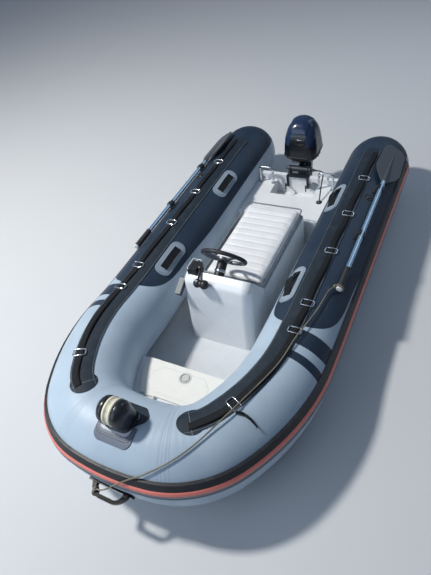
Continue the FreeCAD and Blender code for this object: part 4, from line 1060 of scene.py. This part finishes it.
def seatVinyl(low, high):
    k = seat
    m = Shader("seat_vinyl", coat=0.15)
    soil = m.patches(6.0, 6.0, 0.42, 0.75, rough=0.7)
    seam = abs(m.wave(m.x - low.x, k["pitch"] * 2)).below(0.10, 0.05) * m.z.above(high.z - 0.022, 0.004)
    colour = m.mix(soil * 0.5, k["vinyl"], k["soil"])
    colour = m.mix(seam * 0.45, colour, k["seam"])
    return m.finish(colour, 0.40 + soil * 0.12, m.cells(340.0) * 0.00018 + m.wave(m.y, 0.007) * seam * 0.0002)


# rises from 0 to 1 over a width
def ramp(x, start, width):
    return min(1.0, max(0.0, (x - start) / width))


def seatCushion():
    low, high = (Vector(c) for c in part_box("seat_cushion"))
    k = seat["inset"]
    mesh = meshOf(roundedBlock(low + Vector((k, k, 0.002)), high - Vector((k, k, k)), seat["corner"]), "cushion")
    piece = bpy.data.objects.new("seat_cushion_pad", mesh)
    bpy.context.scene.collection.objects.link(piece)
    mesh.remesh_voxel_size = seat["voxel"]
    bpy.context.view_layer.objects.active = piece
    piece.select_set(True)
    bpy.ops.object.voxel_remesh()
    # the foam swells its cover as a cloth under pressure, as far as the cap
    rest = [v.co.copy() for v in piece.data.vertices]
    cloth = piece.modifiers.new("cloth", "CLOTH")
    cloth.settings.use_pressure = True
    cloth.settings.uniform_pressure_force = seat["pressure"]
    cloth.settings.effector_weights.gravity = 0.0
    cloth.settings.quality = 4
    for at in range(1, seat["frames"] + 1):
        bpy.context.scene.frame_set(at)
    swollen = piece.evaluated_get(bpy.context.evaluated_depsgraph_get())
    pushed = [v.co.copy() for v in swollen.data.vertices]
    piece.modifiers.remove(cloth)
    bpy.context.scene.frame_set(1)
    for v, a, b in zip(piece.data.vertices, rest, pushed):
        d = b - a
        v.co = a + (d.normalized() * seat["cap"] if d.length > seat["cap"] else d)
    smooth = piece.modifiers.new("smooth", "SMOOTH")
    smooth.factor, smooth.iterations = 0.5, 4
    divide = piece.modifiers.new("divide", "SUBSURF")
    divide.levels = divide.render_levels = 1
    bpy.context.view_layer.update()
    final = bpy.data.meshes.new_from_object(piece.evaluated_get(bpy.context.evaluated_depsgraph_get()))
    bpy.data.objects.remove(piece)
    # sewn grooves across the top, fading out towards its borders
    for v in final.vertices:
        p = v.co
        top = ramp(p.z, high.z - 0.030, 0.020)
        phase = abs(sin(pi * (p.x - low.x) / seat["pitch"]))
        border = ramp(high.y - abs(p.y), 0.030, 0.030) * ramp(p.x - low.x, 0.03, 0.02) * ramp(high.x - p.x, 0.06, 0.02)
        z = p.z - seat["groove"] * top * border * (1.0 - phase) ** 2.2
        p.z = min(max(z, low.z + 0.0005), high.z + 0.004)
    pad = addObject("seat_pad", final, seatVinyl(low, high))
    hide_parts("seat_cushion")
    bm = bmesh.new()
    cx, halfX = (low.x + high.x) / 2, (high.x - low.x) / 2
    for (dz, out), z in zip(seat["welts"], (high.z, low.z)):
        loop = denseLoop(roundedLoop(cx, 0, halfX - out, high.y - out, seat["weltCorner"]), 0.012)
        tubeAlong(bm, [Vector((x, y, z + dz)) for x, y in loop], seat["welt"], 8, closed=True)
    addObject("seat_piping", meshOf(bm, "piping"), made["grey_plastic"])


seatCushion()
print("seat cushion")

# bow roller's housing and the raised pad ahead of it
housing = {
    "arch": 0.0675, "inner": 0.029, "outer": 0.080, "halfLength": 0.077, "lip": 0.006, "baseTop": 0.5753,
    "corner": 0.044, "bulge": 2.15, "cut": 0.027, "axle": (0.031, 0.0074),
    "plinth": ((-0.007, 0), (-0.003, 0.0012), (-0.0005, 0.0045), (0, 0.010), (-0.001, 0.030)),
}


def rollerHousing():
    h = housing
    low, high = (Vector(c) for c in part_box("bow_roller_housing"))
    spin = jointNamed("roller_spin")[0]
    cx, halfX, halfY = (low.x + high.x) / 2, (high.x - low.x) / 2 - h["cut"] / 2, (high.y - low.y) / 2
    bm = bmesh.new()
    rings = []
    for z, inset in [(low.z, 0)] + [(h["baseTop"] + dz, inset) for dz, inset in h["plinth"]]:
        loop = roundedLoop(cx - h["cut"] / 2, 0, halfX - inset, halfY - inset, h["corner"] - inset)
        rings.append([Vector((x, y, z)) for x, y in loop])
    sweepRings(bm, rings)
    foot, rim = h["baseTop"] - 0.004, h["inner"] + h["lip"]
    # each cheek is an arch that rounds off outwards, and its skirt flares down to the plinth
    slices = [(h["inner"], 1.0, 0.0016), (h["inner"] + 0.0016, 1.0, 0.0), (rim, 1.0, 0.0)]
    for k in range(1, 14):
        a = radians(84.0 * k / 13)
        slices.append((rim + (h["outer"] - rim) * sin(a) ** (2 / h["bulge"]), cos(a) ** (2 / h["bulge"]), 0.0))
    for side in (1, -1):
        rings = []
        for y, scale, inset in slices:
            r = h["arch"] * scale - inset
            long = h["halfLength"] * (0.66 + 0.34 * scale) - inset
            ring = [Vector((cx + r * cos(pi * k / 28), side * y, spin.z + r * sin(pi * k / 28))) for k in range(29)]
            for x, z in ((-1, 0.30), (-1, 0.65), (-1, 1.0), (1, 1.0), (1, 0.65), (1, 0.30)):
                reach = long - h["cut"] * (x > 0)
                ring.append(Vector((cx + x * (r + (reach - r) * z ** 1.6), side * y, spin.z + (foot - spin.z) * z)))
            rings.append(ring)
        sweepRings(bm, rings)
    half, radius = h["axle"]
    tubeAlong(bm, [Vector((spin.x, y, spin.z)) for y in (-half, 0.0, half)], radius, 20)
    piece = addObject("roller_housing", meshOf(bm, "housing"), made["housing_plastic"])
    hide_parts("bow_roller_housing")


rollerHousing()

raised = {
    "colour": (0.520, 0.545, 0.600), "worn": (0.430, 0.455, 0.510), "border": (0.62, 0.65, 0.70),
    "lines": (0.0035, 0.0036), "middle": nose.x + 0.0255, "half": (0.0665, 0.084), "corner": 0.028, "rise": 0.0042,
    "slope": ((0.0004, 0.6), (0.0016, 0.92), (0.004, 1.0), (0.010, 0.94),
              (0.022, 0.90), (0.036, 0.90), (0.050, 0.90), (0.064, 0.90)),
}


def raisedOutline(m):
    return roundedBox(m, m.x - raised["middle"], m.y, *raised["half"], raised["corner"])


def raisedPad():
    k = raised
    halfX, halfY = k["half"]
    skin = tube["radius"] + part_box("chafe_pad")[1][2] - nose.z
    rings = []
    for inset, lift in ((0.0, -0.001 / k["rise"]), *k["slope"]):
        loop = roundedLoop(k["middle"], 0, halfX - inset, halfY - inset, max(0.006, k["corner"] - inset), 9)
        rings.append([p + out * (lift * k["rise"]) for p, out in (onTube(x, y, skin) for x, y in loop)])
    bm = bmesh.new()
    sweepRings(bm, rings)
    cover = patchFabric("raised_pad_fabric", k, raisedOutline, proud=0.0)
    addObject("raised_pad", meshOf(bm, "raisedPad"), cover)


raisedPad()
print("bow roller and pad")

# small fittings
valve = {
    "s": -0.690, "angle": 22.5, "radius": 0.031, "ring": 0.0142,
    "stud": ((0.004, 0.0016), (0.0076, 0.0016), (0.0080, 0.001)),
    "rim": ((0, 0), (0.0022, 0), (0.0034, -0.002), (0.0036, -0.007), (0.0012, -0.009)),
    "cap": ((0.0012, 0.015), (0.0066, 0.014), (0.0074, 0.011), (0.0072, 0.002)),
}
screw = {"hinge": 0.0032, "hingeSide": 0.128, "hingeApart": 0.008, "disc": 0.0028, "discRing": 0.0345}


def fittings():
    black, steel = bmesh.new(), bmesh.new()
    profile = [(h, valve["radius"] + dr) for h, dr in valve["rim"]] + list(valve["cap"])
    for side in (1, -1):
        foot = place(valve["s"], valve["angle"], tube["radius"] - 0.001, side)
        out, u, v = squareTo(place(valve["s"], valve["angle"], 0.30, side) - foot)
        lathe(black, profile, foot, out, 32)
        for x, y in circle(6):
            lathe(black, valve["stud"], foot + (u * x + v * y) * valve["ring"], out, 8)
    heads = []
    hinge, top = middle("lid_hinges"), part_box("lid_hinges")[1][2]
    for y in (-screw["hingeSide"], screw["hingeSide"]):
        for dx in (-screw["hingeApart"], screw["hingeApart"]):
            heads.append((Vector((hinge.x + dx, y, top - 0.009)), Vector((0, 0, 1)), screw["hinge"]))
    disc, face = middle("transom_disc"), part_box("transom_disc")[1][0]
    for x, y in circle(6):
        at = Vector((face - 0.0042, disc.y + screw["discRing"] * x, disc.z + screw["discRing"] * y))
        heads.append((at, Vector((1, 0, 0)), screw["disc"]))
    for at, out, r in heads:
        lathe(steel, ((-0.001, r), (0.0008, r), (0.0016, r * 0.75), (0.0018, r * 0.2)), at, out, 12)
    addObject("valves", meshOf(black, "valves"), made["satin_black"])
    addObject("screws", meshOf(steel, "screws"), made["stainless"])


fittings()

hood = {
    "from": 43.0, "to": 152.0, "pivot": 0.490, "halves": ((0.0, 0.058), (0.35, 0.080), (0.62, 0.070), (1.0, 0.044)),
    "edge": -0.0012, "lip": 0.72, "rise": 0.0050, "rows": 44, "cols": 24, "seam": 0.0017, "seamUp": 0.0006,
}


def between(stops, x):
    for (a, p), (b, q) in zip(stops, stops[1:]):
        if x <= b:
            return p + (q - p) * (x - a) / (b - a)
    return stops[-1][1]


# even steps with two narrow ones at each end, for the rolled edge
def spread(count):
    return [0.0, 0.006, 0.02] + [0.02 + 0.96 * k / (count - 5) for k in range(1, count - 5)] + [0.98, 0.994, 1.0]


def cowlHood():
    # a raised panel over the cowl's crown, laid on its surface
    h = hood
    rows, cols = spread(h["rows"]), spread(h["cols"])
    grid = []
    for v in rows:
        a = radians(h["from"] + (h["to"] - h["from"]) * v)
        way = Vector((cos(a), 0, sin(a)))
        half = between(h["halves"], v)
        line = []
        for u in cols:
            start = Vector((cowl["middle"], (2 * u - 1) * half, h["pivot"])) + way * 0.4
            line.append([start, way, (onNode("upper_cowl", start, -way) - start).length])
        grid.append(line)
    last, side = len(rows) - 1, len(cols) - 1
    for _ in range(4):
        for i in range(1, last):
            for j in range(1, side):
                beside = grid[i - 1][j][2] + grid[i + 1][j][2] + grid[i][j - 1][2] + grid[i][j + 1][2]
                grid[i][j][2] = (grid[i][j][2] * 2 + beside) / 6
    bm = bmesh.new()
    verts = []
    for i, line in enumerate(grid):
        row = []
        for j, (start, way, gap) in enumerate(line):
            lift = (h["edge"], h["lip"] * h["rise"], h["rise"])[min(i, j, last - i, side - j, 2)]
            row.append(bm.verts.new(start - way * (gap - lift)))
        verts.append(row)
    for a, b in zip(verts, verts[1:]):
        for j in range(side):
            bm.faces.new((a[j], a[j + 1], b[j + 1], b[j]))
    addObject("cowl_hood", meshOf(bm, "hood"), navy, "motor")
    # the shut line round it
    rim = [line[0] for line in grid] + grid[last][1:] + [line[-1] for line in grid[-2::-1]] + grid[0][-2:0:-1]
    bm = bmesh.new()
    tubeAlong(bm, [start - way * (gap - h["seamUp"]) for start, way, gap in rim], h["seam"], 6, closed=True)
    addObject("hood_seam", meshOf(bm, "hoodSeam"), made["satin_black"], "motor")


starter = {
    "at": (-0.9, -0.030, 0.376), "boss": ((-0.010, 0.016), (0.004, 0.015), (0.007, 0.009), (0.011, 0.006)),
    "grip": (-0.030, -0.020, -0.006, 0.006, 0.020, 0.030), "out": 0.013, "radius": 0.0055, "swell": 0.0015,
}
trim = {
    "pan": 0.0042, "panOut": 0.0005, "latch": 0.0062, "latchHeight": 0.384, "latchOut": 0.003,
    "latches": ((-1.300, -0.004), (-1.270, 0.0), (-1.240, -0.006)),
    "recess": 0.0030, "bar": (-0.62, -0.3, 0.0, 0.3, 0.62), "barUp": 0.80, "barOut": 0.003,
    "barRadius": 0.0022, "barSwell": 0.0010,
}


def motorTrim():
    c, k, ahead, aft = cowl, trim, Vector((1, 0, 0)), (-1, 0, 0)
    black, bar = bmesh.new(), bmesh.new()
    halfX, halfY = c["halfLength"] + k["panOut"], c["halfWidth"] + k["panOut"]
    loop = roundedLoop(c["middle"], 0, halfX, halfY, c["frontCorner"], 14, c["rearCorner"])
    tubeAlong(black, [Vector((x, y, c["foot"])) for x, y in loop], k["pan"], 8, closed=True)
    # the starter's pull grip and its boss on the front of the pan
    face = onNode("cowl_pan", starter["at"], aft)
    lathe(black, starter["boss"], face, ahead, 20)
    grip = [face + Vector((starter["out"], y, 0)) for y in starter["grip"]]
    tubeAlong(black, grip, lambda t: starter["radius"] + starter["swell"] * sin(pi * t), 12)
    # latch levers at the pan's sides
    for side in (1, -1):
        lever = []
        for x, dz in k["latches"]:
            skin = onNode("cowl_pan", (x, side * 0.4, k["latchHeight"]), (0, -side, 0))
            lever.append(skin + Vector((0, side * k["latchOut"], dz)))
        tubeAlong(black, lever, k["latch"], 10)
    # the rim of the latch recess in the front panel, and a bar across it
    (y0, z0), (a, b) = c["recess"], c["recessHalf"]
    ring = [onNode("upper_cowl", (-0.9, y0 + a * x, z0 + b * y), aft) for x, y in circle(40)]
    tubeAlong(black, ring, k["recess"], 8, closed=True)
    addObject("motor_trim", meshOf(black, "motorTrim"), made["satin_black"], "motor")
    top = [onNode("upper_cowl", (-0.9, y0 + a * x, z0 + b * k["barUp"]), aft) + ahead * k["barOut"] for x in k["bar"]]
    tubeAlong(bar, top, lambda t: k["barRadius"] + k["barSwell"] * sin(pi * t), 8)
    addObject("recess_bar", meshOf(bar, "recessBar"), made["stainless"], "motor")


cowlHood()
motorTrim()


helmTrim = {
    "corner": 0.012, "frame": 0.0032, "wire": 0.0015, "wireIn": (0.74, 0.64),
    "dotsAt": ((0.428, -0.103, 0.7), (0.428, -0.092, 0.7)), "dotLean": (0.25, 0.1, 1),
    "dot": ((-0.003, 0.0036), (0.0010, 0.0036), (0.0019, 0.0018)), "foot": (0.336, 0.0, 0.488), "collarAt": 0.046,
    "collar": ((-0.008, 0.030), (-0.008, 0.0345), (-0.005, 0.0362), (0.005, 0.0362), (0.008, 0.0345), (0.008, 0.030)),
}


def throttleTrim():
    k, c = helmTrim, middle("throttle_box")
    high = Vector(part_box("throttle_box")[1])
    edging, wire, dots = bmesh.new(), bmesh.new(), bmesh.new()
    # round the box, but for its forward corner to port
    ell = [(x, y) for x, y in roundedLoop(c.x, c.y, high.x - c.x, high.y - c.y, k["corner"]) if x < c.x or y < c.y]
    tubeAlong(edging, [Vector((x, y, high.z - 0.002)) for x, y in ell], k["frame"], 10)
    inX, inY = k["wireIn"]
    inner = [Vector((c.x + (x - c.x) * inX, c.y + (y - c.y) * inY, high.z + 0.0004)) for x, y in ell]
    tubeAlong(wire, inner, k["wire"], 8)
    for at in k["dotsAt"]:
        lathe(dots, k["dot"], onNode("throttle_lever", at, (0, 0, -1)), Vector(k["dotLean"]), 14)
    addObject("throttle_frame", meshOf(edging, "throttleFrame"), made["gelcoat_white"])
    addObject("throttle_dots", meshOf(dots, "throttleDots"), made["gelcoat_white"])
    # the column's clamp collar
    foot = Vector(k["foot"])
    up = (hub - foot).normalized()
    lathe(wire, k["collar"], foot + up * k["collarAt"], up, 40)
    addObject("helm_chrome", meshOf(wire, "helmChrome"), chrome)


throttleTrim()
print("fittings")

# stage
studio = {"floor": (0.60, 0.61, 0.62), "floorDark": (0.56, 0.57, 0.585), "size": 14.0,
          "sky": (0.56, 0.72, 1.0), "skyPower": 0.22}


def paleFloor():
    m = Shader("floor_pale")
    colour = m.mix(m.noise(1.5, 3.0) * 0.4, studio["floor"], studio["floorDark"])
    return m.finish(colour, 0.85, m.noise(40.0, 3.0) * 0.0002)


bm = bmesh.new()
bmesh.ops.create_grid(bm, x_segments=8, y_segments=8, size=studio["size"])
ground = bpy.data.objects.new("ground", meshOf(bm, "ground"))
ground.data.materials.append(paleFloor())
bpy.context.scene.collection.objects.link(ground)

lights = (
    {"name": "key", "at": (1.5, -3.8, 6.2), "aim": (0.1, 0, 0.2), "size": 0.6,
     "power": 500.0, "colour": (1.0, 0.98, 0.94)},
    {"name": "fill", "at": (4.6, -2.2, 2.8), "aim": (0.2, 0, 0.2), "size": 4.0,
     "power": 85.0, "colour": (0.74, 0.86, 1.0)},
    {"name": "back", "at": (-4.0, 2.0, 3.5), "aim": (-0.4, 0, 0.2), "size": 3.0,
     "power": 30.0, "colour": (0.74, 0.87, 1.0)},
)
for lamp in lights:
    data = bpy.data.lights.new(lamp["name"], "AREA")
    data.shape = "SQUARE"
    data.size = lamp["size"]
    data.energy = lamp["power"]
    data.color = lamp["colour"]
    holder = bpy.data.objects.new(lamp["name"], data)
    holder.location = lamp["at"]
    holder.rotation_euler = (Vector(lamp["aim"]) - Vector(lamp["at"])).to_track_quat("-Z", "Y").to_euler()
    bpy.context.scene.collection.objects.link(holder)

world = bpy.data.worlds.new("sky")
world.use_nodes = True
backdrop = world.node_tree.nodes["Background"]
backdrop.inputs[0].default_value = (*studio["sky"], 1.0)
backdrop.inputs[1].default_value = studio["skyPower"]
bpy.context.scene.world = world
bpy.context.scene.view_settings.view_transform = "Standard"
print("stage")
